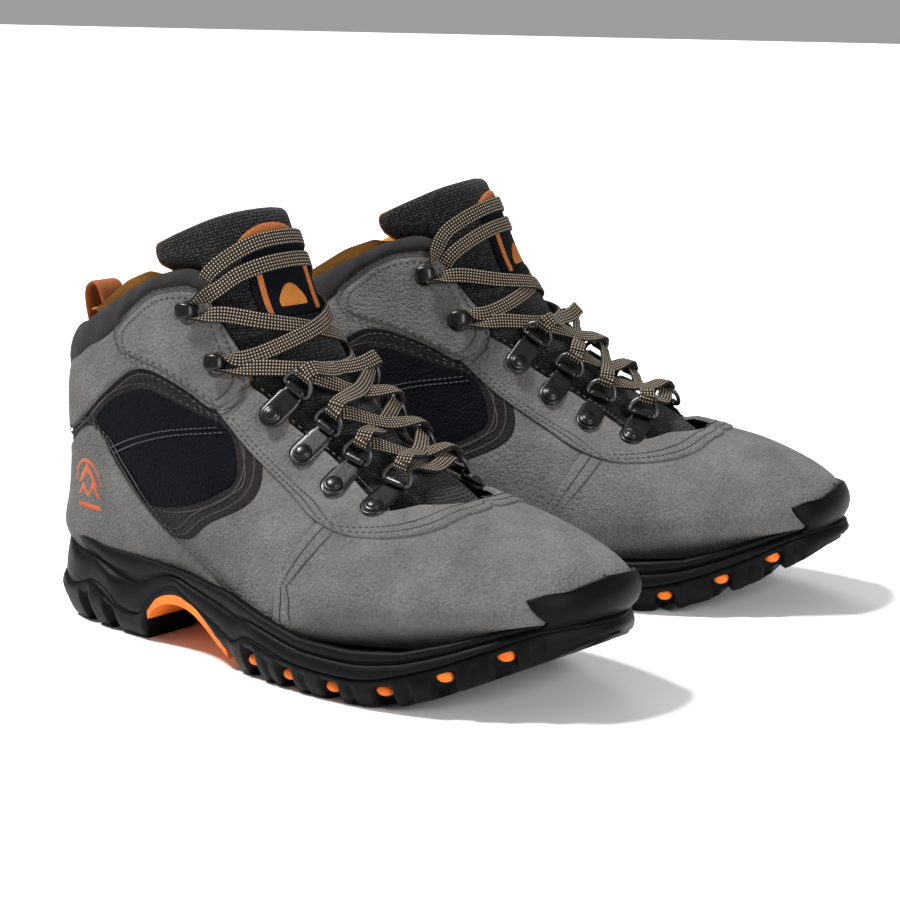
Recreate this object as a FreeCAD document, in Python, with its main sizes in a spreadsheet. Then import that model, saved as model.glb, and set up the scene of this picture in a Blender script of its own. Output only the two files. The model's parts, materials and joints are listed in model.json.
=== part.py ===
import FreeCAD, Part
import math
import os
from FreeCAD import Placement, Rotation, Vector

# A pair of mid-height hiking boots, laced up and standing on the ground.
# One boot is drawn in its own frame: the back of the heel is at y = 0, the toe points along -Y,
# the outer (lateral) side is -X and the ground is z = 0. That is the right boot; the left one is
# its mirror image. Places on the boot are given as (a, l, z): the distance from the heel towards
# the toe, the distance towards the lateral side, and the height, in millimetres.

doc = FreeCAD.newDocument("HikingBoots")
sheet = doc.addObject("Spreadsheet::Sheet", "Sizes")

SIZES = (
    ("sole_length", 310),
    ("boot_splay", 9.3),
    ("heel_spacing", 122.3),
    ("left_ahead", 12.5),
    ("leather", 2.0),
    ("lining_thick", 1.5),
    ("tongue_thick", 7.0),
    ("collar_thick", 9.0),
    ("layer_gap", 0.3),
    ("toe_rubber", 2.0),
    ("board_thick", 2.5),
    ("footbed_thick", 5.0),
    ("shank_thick", 4.0),
    ("groove_width", 5.0),
    ("groove_depth", 5.0),
    ("plug_radius", 3.6),
    ("plug_depth", 5.0),
    ("strap_width", 11.5),
    ("strap_length", 18.0),
    ("strap_thick", 1.3),
    ("barrel_radius", 2.1),
    ("barrel_length", 9.6),
    ("ring_wire", 1.0),
    ("ring_play", 0.06),
    ("ring_half_width", 6.5),
    ("ring_corner", 1.5),
    ("ring_tilt", 35.0),
    ("rivet_radius", 3.8),
    ("rivet_height", 1.8),
    ("rivet_shank", 1.5),
    ("rivet_rim", 0.6),
    ("rivet_top_radius", 2.36),
    ("hook_base_radius", 5.3),
    ("hook_base_thick", 1.6),
    ("hook_post_radius", 1.7),
    ("hook_post_height", 6.6),
    ("hook_cap_length", 8.5),
    ("hook_cap_width", 7.5),
    ("hook_cap_sink", 0.2),
    ("lace_radius", 1.2),
    ("loop_width", 19.0),
)

for line, (alias, value) in enumerate(SIZES, start=1):
    sheet.set(f"A{line}", alias)
    sheet.set(f"B{line}", str(value))
    sheet.setAlias(f"B{line}", alias)
doc.recompute()


def size(alias):
    return float(sheet.get(alias))


FULL_LENGTH = 310.0
STRETCH = size("sole_length") / FULL_LENGTH
SIDE_REACH = 90.0
GAP = size("layer_gap")

# The upper is a stack of closed rows round the foot, from the sole up to above the tongue:
# back a, back z, front a, front z, then the half widths at the heel, waist, ball and toe.
UPPER_ROWS = (
    (20, 30, 258, 19, 26, 32, 51, 31),
    (14, 35, 284, 31, 29.5, 36.5, 55, 38),
    (9.5, 43, 302, 44, 31.5, 40, 57, 42),
    (13.5, 57, 295, 57.5, 32.5, 43.5, 52, 36),
    (16.5, 70, 268, 70.5, 33, 43, 44, 27),
    (18.5, 82, 230, 79, 33, 42, 40, 25),
    (20, 97, 191, 94.5, 33, 39.5, 38, 25),
    (22, 111, 172, 111, 32.5, 37.5, 37, 25),
    (24.5, 123, 155, 129, 30, 35, 34.5, 24),
    (25, 133, 142, 149, 25, 31, 32, 22),
    (24, 143, 134, 168, 22, 29, 30, 20),
    (24, 156, 123, 192, 21, 28, 29, 20),
)
# Along a row: fraction of its length, which half width counts there, and how much of it.
ROW_STATIONS = (
    (0.045, 0, 0.76),
    (0.13, 0, 1.0),
    (0.38, 1, 1.0),
    (0.68, 2, 1.0),
    (0.90, 3, 1.0),
    (0.975, 3, 0.63),
)
TOE_SWING = 4.0
SWING_START = 180.0
SWING_LENGTH = 120.0


def place(a, l, z):
    return Vector(-l, -a * STRETCH, z)


def centre_line(a):
    beyond = max(0.0, (a - SWING_START) / SWING_LENGTH)
    return -TOE_SWING * beyond * beyond


def row_wire(row, inset, drop):
    back, back_z, front, front_z = row[:4]
    back += inset
    front -= inset
    front_z -= inset
    length = front - back

    def point(fraction, half_width):
        a = back + fraction * length
        z = back_z + fraction * (front_z - back_z) - drop
        return place(a, centre_line(a) + half_width, z)

    points = [point(0, 0)]
    for fraction, kind, share in ROW_STATIONS:
        points.append(point(fraction, (row[4 + kind] - inset) * share))
    points.append(point(1, 0))
    for fraction, kind, share in reversed(ROW_STATIONS):
        points.append(point(fraction, -(row[4 + kind] - inset) * share))
    curve = Part.BSplineCurve()
    curve.interpolate(Points=points, PeriodicFlag=True)
    return Part.Wire([curve.toShape()])


def halfway(before, low, high, after):
    return tuple((9 * (b + c) - (a + d)) / 16 for a, b, c, d in zip(before, low, high, after))


def smooth_rows():
    rows = []
    last = len(UPPER_ROWS) - 1
    for number in range(last):
        before = UPPER_ROWS[max(number - 1, 0)]
        after = UPPER_ROWS[min(number + 2, last)]
        rows.append(UPPER_ROWS[number])
        rows.append(halfway(before, UPPER_ROWS[number], UPPER_ROWS[number + 1], after))
    rows.append(UPPER_ROWS[last])
    return rows


def sock(inset, floor_drop=0.0):
    wires = []
    for number, row in enumerate(smooth_rows()):
        wires.append(row_wire(row, inset, floor_drop if number == 0 else 0.0))
    return Part.makeLoft(wires, True, True)


def side_wire(*runs):
    """A closed side-view outline: runs of three or more points are smooth, the rest straight."""
    edges = []
    first = place(runs[0][0][0], 0, runs[0][0][1])
    last = None
    for run in runs:
        points = [place(a, 0, z) for a, z in run]
        if last is not None and (points[0] - last).Length > 1e-6:
            edges.append(Part.makeLine(last, points[0]))
        if len(points) == 2:
            edges.append(Part.makeLine(points[0], points[1]))
        elif len(points) > 2:
            curve = Part.BSplineCurve()
            curve.interpolate(Points=points)
            edges.append(curve.toShape())
        last = points[-1]
    if (last - first).Length > 1e-6:
        edges.append(Part.makeLine(last, first))
    return Part.Wire(edges)


def side_face(*runs):
    return Part.Face(side_wire(*runs))


def through(face):
    """A side-view face carried right across the boot."""
    moved = face.copy()
    moved.translate(Vector(-SIDE_REACH, 0, 0))
    return moved.extrude(Vector(2 * SIDE_REACH, 0, 0))


# Solids smaller than these, in cubic millimetres, are slivers left where two cuts meet.
SLIVER = 30.0
THIN_SLIVER = 60.0
SMALL_SLIVER = 5.0
LINING_SLIVER = 2000.0


def pieces(shape, smallest=SLIVER):
    solids = [solid for solid in shape.Solids if solid.Volume > smallest]
    return solids[0] if len(solids) == 1 else Part.makeCompound(solids)


def add(name, shape):
    feature = doc.addObject("Part::Feature", name)
    feature.Shape = shape
    feature.Label = name
    return feature


# ---------------------------------------------------------------- side-view lines of the boot

COLLAR_TOP = [
    (14, 133), (24, 134), (37, 136.5), (52, 144), (66, 151), (84, 159.5), (98, 164), (106, 164.5),
    (114, 161), (119, 154),
]
COLLAR_SEAM = [
    (14, 123), (30, 125), (45, 130.5), (64, 141.5), (76, 149), (90, 154.5), (102, 157),
    (109, 156.8), (115, 152.5),
]
FRONT_EDGE = [(115, 152.5), (122, 143.5), (132, 132.5), (138, 125), (139.5, 119)]
THROAT_EDGE = [(139.5, 119), (150, 113), (163, 102.5), (188, 88), (202, 80), (214, 73.5), (220, 72)]
OVERLAY_LOW = [
    (8, 84), (30, 88), (45, 96), (60, 108), (76, 119), (88, 121), (102, 118), (115, 113.5),
    (128, 108.5), (139.5, 119),
]
EYESTAY_LOW = [(134, 103), (146, 93), (168, 80), (188, 70.5), (206, 66), (226, 66.5), (240, 70), (247, 76)]
COUNTER_FRONT = [(40, 93), (54, 89), (64, 80.5), (76, 69.5), (91, 58.5), (110, 48.5), (130, 41), (146, 33)]
VAMP_SEAM = [(192, 72), (185, 60.5), (178.5, 48), (174, 37), (170, 20)]
PANEL_EDGE = [(54, 97), (65, 105.5), (79, 111.5), (90, 113), (103, 110.5), (117, 106.5), (133, 101.5)]
PANEL_FRONT = [(133, 101.5), (140, 92.5), (143.5, 81)]
PANEL_LOW = [(143.5, 81), (137, 75), (118, 67), (98, 63.3), (84, 65), (71, 75.5), (61, 87), (54, 97)]
TRIM_LOW = [(156, 86), (157, 76), (150, 69.5), (132, 61), (117, 52), (104, 50)]
FLOOR_LINE = [(2, 31), (60, 27), (120, 23), (200, 20), (250, 19.5), (275, 26), (306, 42)]
TOP_EDGE = [
    (-4, 65), (18, 65.5), (24, 53), (38, 43), (55, 39), (87, 37.5), (109, 36.5), (142, 34),
    (167, 29), (192, 24.5), (219, 24), (242, 26), (261, 31), (280, 37), (296, 41), (316, 42),
]
PARTING = [
    (-4, 21), (14, 19.4), (29, 17), (44, 21.5), (55, 18.6), (66, 13), (79, 12.5), (92, 24),
    (104, 29.5), (117, 25), (136, 19), (149, 15), (158, 18.5), (168, 17.5), (186, 14.2),
    (209, 12.5), (229, 13.5), (252, 20), (275, 29), (294, 36.5), (316, 39),
]
ARCH = [(80, 0), (85, 11), (94, 18.5), (106, 21.5), (120, 19.5), (133, 12), (142, 5), (150, 0)]
TOE_SPRING = [(222, 0), (240, 2.6), (254, 7.5), (270, 14.5), (292, 25), (300, 30), (316, 37)]
SPLIT_GAP = 0.05
# How far an inner sock's floor drops below the outer one's, so that a cut leaves no floor.
FLOOR_DROP = 10.0


def raised(run, rise):
    return [(a, z + rise) for a, z in run]


# ---------------------------------------------------------------- sole


# Half widths of the sole at places along it, and where its two ends start to draw in.
SOLE_WIDTHS = (
    (13, 20), (38, 32), (87, 39), (109, 42.5), (142, 49.5), (167, 55.5),
    (197, 59), (224, 58.5), (245, 54), (262, 47.5), (280, 39), (296, 27),
)
SOLE_BACK = 6
SOLE_FRONT = 308
END_TAPER = 60
TOE_TAPER_START = 240


def sole_outline(z, narrower, heel_in, toe_in):
    """The sole's closed outline at height z, drawn in at its sides, heel and toe."""
    back = place(SOLE_BACK + heel_in, 0, z)
    front = place(SOLE_FRONT - toe_in, -TOE_SWING, z)
    lateral = []
    medial = []
    for a, half_width in SOLE_WIDTHS:
        heel_share = max(0.0, 1 - a / END_TAPER)
        toe_share = max(0.0, (a - TOE_TAPER_START) / END_TAPER)
        along = a + heel_in * heel_share - toe_in * toe_share
        lateral.append(place(along, centre_line(a) + half_width - narrower, z))
        medial.append(place(along, centre_line(a) - half_width + narrower, z))
    curve = Part.BSplineCurve()
    curve.interpolate(Points=[back] + lateral + [front] + medial[::-1], PeriodicFlag=True)
    return Part.Wire([curve.toShape()])


def sole_block():
    outlines = [
        sole_outline(-1, 6, 1, 3),
        sole_outline(14, 0, 1, 0),
        sole_outline(34, 1, 6, 3),
        sole_outline(70, 1, 13, 8),
    ]
    return Part.makeLoft(outlines, True, False)


def below(line, bottom=-10.0):
    """The side-view face under a line."""
    return side_face(line, [(line[-1][0], bottom), (line[0][0], bottom)])


def above(line, top=260.0):
    """The side-view face over a line."""
    return side_face(line, [(line[-1][0], top), (line[0][0], top)])


PLUG_PLACES = ((161, 8.5), (183, 7), (208, 6.5), (234, 9), (259, 17.5), (281, 27))
GROOVE_PLACES = (24, 42, 60, 172, 195, 221)
LONG_GROOVES = ((20, 66), (156, 222))
LONG_GROOVE_WIDTH = 7.0
UNDER = 10.0


def tread_cutters():
    """Boxes for the grooves across the tread and the two along its middle."""
    cutters = []
    width = size("groove_width")
    tall = UNDER + size("groove_depth")
    for a in GROOVE_PLACES:
        corner = Vector(-SIDE_REACH, -a - width / 2, -UNDER)
        cutters.append(Part.makeBox(2 * SIDE_REACH, width, tall, corner))
    for back, front in LONG_GROOVES:
        corner = Vector(-LONG_GROOVE_WIDTH / 2, -front, -UNDER)
        cutters.append(Part.makeBox(LONG_GROOVE_WIDTH, front - back, tall, corner))
    return cutters


def plug_cylinder(a, z, radius, length):
    return Part.makeCylinder(radius, length, place(a, length / 2, z), Vector(1, 0, 0))


def plug_tunnel(radius):
    tunnels = [plug_cylinder(a, z, radius, 2 * SIDE_REACH) for a, z in PLUG_PLACES]
    return Part.makeCompound(tunnels)


# ---------------------------------------------------------------- build the shapes of one boot

block = sole_block()
outer = sock(0)
skin_inside = sock(size("leather"), FLOOR_DROP - 2)
lining_outside = sock(size("leather") + GAP, FLOOR_DROP - 2)
lining_inside = sock(size("leather") + GAP + size("lining_thick"), FLOOR_DROP)
foot_space = sock(size("leather") + 2 * GAP + size("lining_thick"), FLOOR_DROP)
skin = outer.cut(skin_inside)
lining_shell = lining_outside.cut(lining_inside)

throat = side_face(FRONT_EDGE, THROAT_EDGE, [(232, 82), (240, 260)], [(115, 260)])
tongue_face = side_face(
    [(115 + GAP, 153), (122 + GAP, 144)],
    [(132 + GAP, 133), (138.5, 125.5)],
    [(140, 119.5), (150, 113.8)],
    [(163, 103.3), (188, 88.8)],
    [(202, 80.8), (214, 74.3)],
    [(218, 73.5), (238, 90)],
    [(200, 200)],
    [(122, 189), (112, 190), (100, 186), (88, 179)],
    [(84, 172), (100, 172)],
    [(114, 166)],
)
collar_face = side_face(COLLAR_SEAM, COLLAR_TOP[::-1])
LINING_FRONT = [(121, 144), (131, 133.5), (138.6, 125.5)]
under_collar = side_face(COLLAR_SEAM + LINING_FRONT, [(330, 125.5), (330, -10)], [(14, -10)])
overlay_face = side_face(COLLAR_SEAM, FRONT_EDGE, OVERLAY_LOW[::-1])
dark_face = side_face(PANEL_EDGE, PANEL_FRONT, PANEL_LOW)
eyestay_face = side_face(
    OVERLAY_LOW[-2:],
    THROAT_EDGE,
    [(232, 82), (247, 76)],
    EYESTAY_LOW[::-1],
    [(134, 103), (128, 108.5)],
)
counter_face = side_face(COUNTER_FRONT, [(146, 0), (-10, 0)], [(-10, 92)], [(20, 92)])
vamp_face = side_face(VAMP_SEAM, [(170, 0), (330, 0)], [(330, 110), (192, 110)])
trim_face = side_face(TRIM_LOW, [(30, 50), (30, 125)], [(150, 125)])
everything = side_face([(-20, -5), (330, -5)], [(330, 125), (-20, 125)])


def panel(face, taken):
    """The leather inside a side-view face, less what other panels have taken."""
    region = face
    for other in taken:
        region = region.cut(other)
    cut = [skin.common(through(one)) for one in region.Faces]
    return pieces(Part.makeCompound(cut), THIN_SLIVER)


taken = [throat, above(COLLAR_SEAM)]
panels = {}
for name, face in (
    ("ankle_overlay", overlay_face),
    ("side_panels", dark_face),
    ("eyestay", eyestay_face),
    ("heel_counter", counter_face),
    ("vamp", vamp_face),
    ("side_panel_trim", trim_face),
    ("quarter", everything),
):
    panels[name] = panel(face, taken)
    taken.append(face)

collar_shell = outer.cut(sock(size("collar_thick"), FLOOR_DROP))
collar = pieces(collar_shell.common(through(collar_face.cut(throat))))
board_region = through(side_face(FLOOR_LINE, raised(FLOOR_LINE, size("board_thick"))[::-1]))
board = pieces(lining_outside.common(board_region))
lining_low = raised(FLOOR_LINE, size("board_thick") + SPLIT_GAP)
lining_region = through(above(lining_low).cut(throat).common(under_collar))
lining = pieces(lining_shell.common(lining_region), LINING_SLIVER)
bed_low = raised(FLOOR_LINE, size("board_thick") + GAP)
bed_region = through(side_face(bed_low, raised(bed_low, size("footbed_thick"))[::-1]))
footbed = pieces(foot_space.common(bed_region))
tongue_shell = sock(SPLIT_GAP).cut(sock(size("tongue_thick"), FLOOR_DROP))
tongue = pieces(tongue_shell.common(through(tongue_face)).cut(collar))


# ---------------------------------------------------------------- sole pieces

block_low = block.common(through(below(PARTING)))
block_high = block.common(through(above(raised(PARTING, SPLIT_GAP)).common(below(TOP_EDGE))))
arch_cut = through(side_face(ARCH, [(150, -20), (80, -20)]))
toe_cut = through(side_face(TOE_SPRING, [(316, -20), (222, -20)]))
outsole = block_low.cut([arch_cut, toe_cut] + tread_cutters())
ground = Part.makeBox(2 * SIDE_REACH, 400, UNDER, Vector(-SIDE_REACH, -350, -UNDER))
outsole = outsole.cut(ground)
outsole = outsole.cut(plug_tunnel(size("plug_radius")))
SHANK_GAP = 1.0
shank_top = raised(ARCH[1:-1], size("shank_thick"))
shank_face = side_face(ARCH[1:-1], shank_top[::-1])
shank = block.common(through(shank_face)).common(through(below(raised(PARTING, -SHANK_GAP))))
inside_sole = [outer, board, footbed, lining]
outsole = pieces(outsole.cut(inside_sole + [through(shank_face)]))
shank = pieces(shank.cut(inside_sole))
midsole = pieces(block_high.cut(inside_sole))

plug_depth = size("plug_depth")
plug_core = Part.makeLoft([
    sole_outline(-1, 6 + plug_depth, 6, 8),
    sole_outline(14, plug_depth, 6, 5),
    sole_outline(34, 1 + plug_depth, 11, 8),
], True, True)
plug_rods = block.cut(plug_core).common(plug_tunnel(size("plug_radius") - GAP))
plugs = pieces(plug_rods.common(through(below(raised(PARTING, -GAP)))), SMALL_SLIVER)

BUMPER_EDGE = [(277, 42), (284, 49.5), (294, 57), (316, 62)]
bumper_face = side_face([(272, 20), (277, 42)], BUMPER_EDGE, [(316, 20)])
bumper_shell = sock(-size("toe_rubber")).cut([sock(-SPLIT_GAP), block_high, block_low])
bumper = pieces(bumper_shell.common(through(bumper_face)))

# ---------------------------------------------------------------- eyelet hardware

# Eyelet rivets and speed hooks on the lateral side, from the toe up.
RING_PLACES = ((209.8, 31, 75), (188.4, 31, 81), (170.1, 30, 93), (153.3, 30, 107))
HOOK_PLACES = ((126, 34, 127), (108.5, 31.5, 147))
INWARD_REACH = 17.0
INWARD_RISE = 6.0
ALONG_STEP = 6.0
# Which way the eyelet row runs past the rings, and past the steeper hooks.
RING_ROW = Vector(0, 1, 0.75)
HOOK_ROW = Vector(0, 0.65, 1)


def nearest(target):
    return outer.Shells[0].distToShape(Part.Vertex(target))[1][0][0]


class Seat:
    """Where a fitting sits on the upper: its point, and its inward, outward and along directions."""

    def __init__(self, where, side):
        a, l, z = where
        mirror = Vector(side, 1, 1)

        def turned(vector):
            return Vector(vector.x * mirror.x, vector.y, vector.z)

        start = nearest(place(a, l, z))
        inner = nearest(place(a, l - INWARD_REACH, z + INWARD_RISE))
        middle = nearest((start + inner) * 0.5 + Vector(0, 0, 0.5))
        up_row = RING_ROW if a > RING_PLACES[-1][0] - 1 else HOOK_ROW
        up_row = Vector(up_row).normalize()
        upper = nearest(start + up_row * ALONG_STEP)
        lower = nearest(start - up_row * ALONG_STEP)
        self.point = turned(start)
        self.inward = turned(inner - start).normalize()
        normal = self.inward.cross(turned(upper - lower)).normalize()
        self.normal = normal if normal.z > 0 else normal * -1
        self.along = self.inward.cross(self.normal).normalize()
        self.lift = max(0.0, (turned(middle) - self.point).dot(self.normal))

    def at(self, inward, outward, along=0.0):
        return self.point + self.inward * inward + self.normal * outward + self.along * along

    def put(self, shape, inward, outward):
        frame = FreeCAD.Matrix(
            self.along.x, self.inward.x, self.normal.x, 0,
            self.along.y, self.inward.y, self.normal.y, 0,
            self.along.z, self.inward.z, self.normal.z, 0,
            0, 0, 0, 1)
        moved = shape.copy()
        moved.Placement = Placement(self.at(inward, outward), Placement(frame).Rotation) * shape.Placement
        return moved


def bound(kind, name, **formulas):
    made = doc.addObject(kind, name)
    for prop, formula in formulas.items():
        made.setExpression(prop, formula)
    return made


# Each fitting is drawn with x along the eyelet row, y towards the laces and z away from the leather.
barrel = bound("Part::Cylinder", "BarrelBody", Radius="Sizes.barrel_radius", Height="Sizes.barrel_length")
barrel.Placement = Placement(Vector(-size("barrel_length") / 2, 0, 0), Rotation(Vector(0, 1, 0), 90))
strap_plate = bound("Part::Box", "StrapPlate", Length="Sizes.strap_width", Width="Sizes.strap_length",
                    Height="Sizes.strap_thick")
strap_plate.setExpression("Placement.Base.x", "-Sizes.strap_width / 2")
strap_plate.setExpression("Placement.Base.y", "-Sizes.strap_length - Sizes.barrel_radius")
strap_plate.setExpression("Placement.Base.z", "-Sizes.barrel_radius")
strap_neck = bound("Part::Box", "StrapNeck", Length="Sizes.barrel_length", Width="Sizes.barrel_radius + 1",
                   Height="Sizes.strap_thick")
strap_neck.setExpression("Placement.Base.x", "-Sizes.barrel_length / 2")
strap_neck.setExpression("Placement.Base.y", "-Sizes.barrel_radius - 1")
strap_neck.setExpression("Placement.Base.z", "-Sizes.barrel_radius")
bore = bound("Part::Cylinder", "RingBore", Radius="Sizes.ring_wire + Sizes.ring_play",
             Height="Sizes.barrel_length * 2")
bore.Placement = Placement(Vector(-size("barrel_length"), 0, 0), Rotation(Vector(0, 1, 0), 90))
rivet_hole = bound("Part::Cylinder", "RivetHole", Radius="Sizes.rivet_shank",
                   Height="Sizes.strap_thick * 4")
rivet_hole.setExpression("Placement.Base.y",
                         "-Sizes.strap_length - Sizes.barrel_radius + Sizes.strap_width / 2")
rivet_hole.setExpression("Placement.Base.z", "-Sizes.barrel_radius - 2 * Sizes.strap_thick")
strap_solid = doc.addObject("Part::MultiFuse", "StrapSolid")
strap_solid.Shapes = [barrel, strap_plate, strap_neck]
strap_holes = doc.addObject("Part::MultiFuse", "StrapHoles")
strap_holes.Shapes = [bore, rivet_hole]
strap = doc.addObject("Part::Cut", "RingClip")
strap.Base = strap_solid
strap.Tool = strap_holes

rivet_body = doc.addObject("PartDesign::Body", "RivetBody")
rivet_sketch = rivet_body.newObject("Sketcher::SketchObject", "RivetProfile")
plane = [one for one in rivet_body.Origin.OriginFeatures if one.Role == "XZ_Plane"][0]
rivet_sketch.AttachmentSupport = [(plane, "")]
rivet_sketch.MapMode = "FlatFace"


def profile(sketch, corners):
    count = len(corners)
    for number in range(count):
        start = Vector(*corners[number], 0)
        end = Vector(*corners[(number + 1) % count], 0)
        sketch.addGeometry(Part.LineSegment(start, end), False)


thick = size("strap_thick")
shank_radius = size("rivet_shank")
head_radius = size("rivet_radius")
head_height = size("rivet_height")
profile(rivet_sketch, (
    (0, -thick),
    (shank_radius, -thick),
    (shank_radius, 0),
    (head_radius, 0),
    (head_radius, size("rivet_rim")),
    (size("rivet_top_radius"), head_height),
    (0, head_height),
))
rivet_turn = rivet_body.newObject("PartDesign::Revolution", "RivetTurned")
rivet_turn.Profile = rivet_sketch
rivet_turn.ReferenceAxis = (rivet_sketch, ["V_Axis"])
rivet_turn.Angle = 360.0

hook_base = bound("Part::Cylinder", "HookBase", Radius="Sizes.hook_base_radius",
                  Height="Sizes.hook_base_thick")
hook_post = bound("Part::Cylinder", "HookPost", Radius="Sizes.hook_post_radius",
                  Height="Sizes.hook_post_height")
hook_cap = bound("Part::Box", "HookCap", Length="Sizes.hook_cap_width", Width="Sizes.hook_cap_length",
                 Height="Sizes.hook_base_thick")
hook_cap.setExpression("Placement.Base.x", "-Sizes.hook_cap_width / 2")
hook_cap.setExpression("Placement.Base.y", "-Sizes.hook_cap_length + Sizes.hook_post_radius")
hook_cap.setExpression("Placement.Base.z", "Sizes.hook_post_height - Sizes.hook_cap_sink")
hook = doc.addObject("Part::MultiFuse", "SpeedHook")
hook.Shapes = [hook_base, hook_post, hook_cap]
doc.recompute()


def ring_shape():
    """A D-shaped wire ring, its straight bar on the hinge line."""
    half = size("ring_half_width")
    corner = size("ring_corner")
    flat = half - corner
    diagonal = corner * math.sqrt(0.5)
    right_bend = Vector(flat + diagonal, corner - diagonal, 0)
    left_bend = Vector(-flat - diagonal, corner - diagonal, 0)
    edges = [
        Part.LineSegment(Vector(-flat, 0, 0), Vector(flat, 0, 0)).toShape(),
        Part.Arc(Vector(flat, 0, 0), right_bend, Vector(half, corner, 0)).toShape(),
        Part.Arc(Vector(half, corner, 0), Vector(0, corner + half, 0), Vector(-half, corner, 0)).toShape(),
        Part.Arc(Vector(-half, corner, 0), left_bend, Vector(-flat, 0, 0)).toShape(),
    ]
    section = Part.Wire([Part.Circle(Vector(0, 0, 0), Vector(1, 0, 0), size("ring_wire")).toShape()])
    wire = Part.Wire(edges).makePipeShell([section], True, False)
    wire.rotate(Vector(0, 0, 0), Vector(1, 0, 0), size("ring_tilt"))
    return wire


ring_proto = ring_shape()
SIDES = (("lateral", 1), ("medial", -1))
AXIS_HEIGHT = size("barrel_radius") + 3 * GAP
BARREL_REACH = size("strap_length") + size("barrel_radius") - size("strap_width") / 2
ring_seats = {}
hook_seats = {}
for side_name, side in SIDES:
    for number, where in enumerate(RING_PLACES, start=1):
        ring_seats[side_name, number] = Seat(where, side)
    for number, where in enumerate(HOOK_PLACES, start=1):
        hook_seats[side_name, number] = Seat(where, side)

clip_list = []
rivet_list = []
rings = {}
for key, seat in ring_seats.items():
    axis_height = AXIS_HEIGHT + seat.lift
    clip_list.append(seat.put(strap.Shape, BARREL_REACH, axis_height))
    rivet_list.append(seat.put(rivet_body.Shape, 0, 3 * GAP + thick + seat.lift))
    rings[key] = seat.put(ring_proto, BARREL_REACH, axis_height)
clips = Part.makeCompound(clip_list)
rivets = Part.makeCompound(rivet_list)
hooks = Part.makeCompound([seat.put(hook.Shape, 0, GAP) for seat in hook_seats.values()])

# ---------------------------------------------------------------- the lace, one tube round rings and hooks


BEND_SHARE = 0.45
STRAIGHT = 0.01


def tube(points, radius):
    """A round cord through points, with a smooth bend at each of them."""
    edges = []
    start = points[0]
    for before, corner, after in zip(points, points[1:], points[2:]):
        arrive = corner - before
        leave = after - corner
        turn = arrive.getAngle(leave)
        if turn < STRAIGHT:
            continue
        back_off = BEND_SHARE * min(arrive.Length, leave.Length)
        bend = back_off / math.tan(turn / 2)
        first = corner - arrive.normalize() * back_off
        last = corner + leave.normalize() * back_off
        bisector = (leave - arrive).normalize()
        middle = corner + bisector * (bend / math.cos(turn / 2) - bend)
        if (first - start).Length > 1e-4:
            edges.append(Part.LineSegment(start, first).toShape())
        edges.append(Part.Arc(first, middle, last).toShape())
        start = last
    edges.append(Part.LineSegment(start, points[-1]).toShape())
    path = Part.Wire(edges)
    direction = (points[1] - points[0]).normalize()
    section = Part.Wire([Part.Circle(points[0], direction, radius).toShape()])
    print(f"lace length {path.Length:.0f}")
    return path.makePipeShell([section], True, False)


TILT = math.radians(size("ring_tilt"))
RING_TIP = size("ring_half_width") + size("ring_corner")
# How close the lace passes to a ring's wire, how high its two halves cross over the tongue, and
# where it leaves a ring.
HUG = 3.0
CROSSING_LOW = 3.2
CROSSING_HIGH = 6.6
KNEE = 4.5
KNEE_LIFT = 0.8
HOOK_RISE = 2.2
HOOK_PLAY = 0.6
HOOK_LEAD = 3.0
TOP_RISE = 10.0
HALF_WAY = (0.5,)
ROUND_THE_TONGUE = (0.22, 0.5, 0.78)
TONGUE_EXTRA = 2.4
INSTEP_BACK = 30.0
INSTEP_DOWN = 25.0


def ring_turn(side_name, number):
    """The lace's points round one ring: in underneath it and out over it."""
    seat = ring_seats[side_name, number]
    inward = BARREL_REACH + RING_TIP * math.cos(TILT)
    outward = AXIS_HEIGHT + seat.lift + RING_TIP * math.sin(TILT)
    return [
        seat.at(inward + KNEE, outward - HUG),
        seat.at(inward - HUG, outward - HUG),
        seat.at(inward - HUG, outward + HUG),
        seat.at(inward + KNEE, outward + HUG + KNEE_LIFT),
    ]


def crossing(before, after, height, shares):
    """Points over the tongue between two places, at a height above it."""
    points = []
    for share in shares:
        on_line = before + (after - before) * share
        outward = (on_line - Vector(0, on_line.y + INSTEP_BACK, on_line.z - INSTEP_DOWN)).normalize()
        points.append(nearest(on_line + outward * INSTEP_DOWN) + outward * height)
    return points


def hook_turn(side_name, number):
    """The lace's points round one hook's post, from below it to above it."""
    seat = hook_seats[side_name, number]
    height = GAP + size("hook_base_thick") + HOOK_RISE
    reach = size("hook_post_radius") + size("lace_radius") + HOOK_PLAY
    return [
        seat.at(reach + HOOK_LEAD, height, reach),
        seat.at(-reach, height, reach),
        seat.at(-reach, height, -reach),
        seat.at(reach + HOOK_LEAD, height, -reach),
    ]


other = {"lateral": "medial", "medial": "lateral"}


def climb(side_name, height):
    """Half the lace, from the lowest ring on one side up to the last hook, crossing at every step."""
    points = ring_turn(side_name, 1)[1:]
    current = side_name
    for number in (2, 3, 4):
        current = other[current]
        turn = ring_turn(current, number)
        points.extend(crossing(points[-1], turn[0], height, HALF_WAY))
        points.extend(turn)
    for number in (1, 2):
        current = other[current]
        turn = hook_turn(current, number)
        points.extend(crossing(points[-1], turn[0], height + TONGUE_EXTRA, ROUND_THE_TONGUE))
        points.extend(turn)
    last = points[-1]
    finish = Vector(-last.x, last.y, last.z + TOP_RISE)
    points.extend(crossing(last, finish, height + TONGUE_EXTRA, ROUND_THE_TONGUE[:2]))
    return points


first_half = climb("lateral", CROSSING_HIGH)
second_half = climb("medial", CROSSING_LOW)
bottom_bar = crossing(first_half[0], second_half[0], CROSSING_LOW, HALF_WAY)
lace_route = first_half[::-1] + bottom_bar + second_half
lace = tube(lace_route, size("lace_radius"))


# ---------------------------------------------------------------- pull loop

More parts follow.
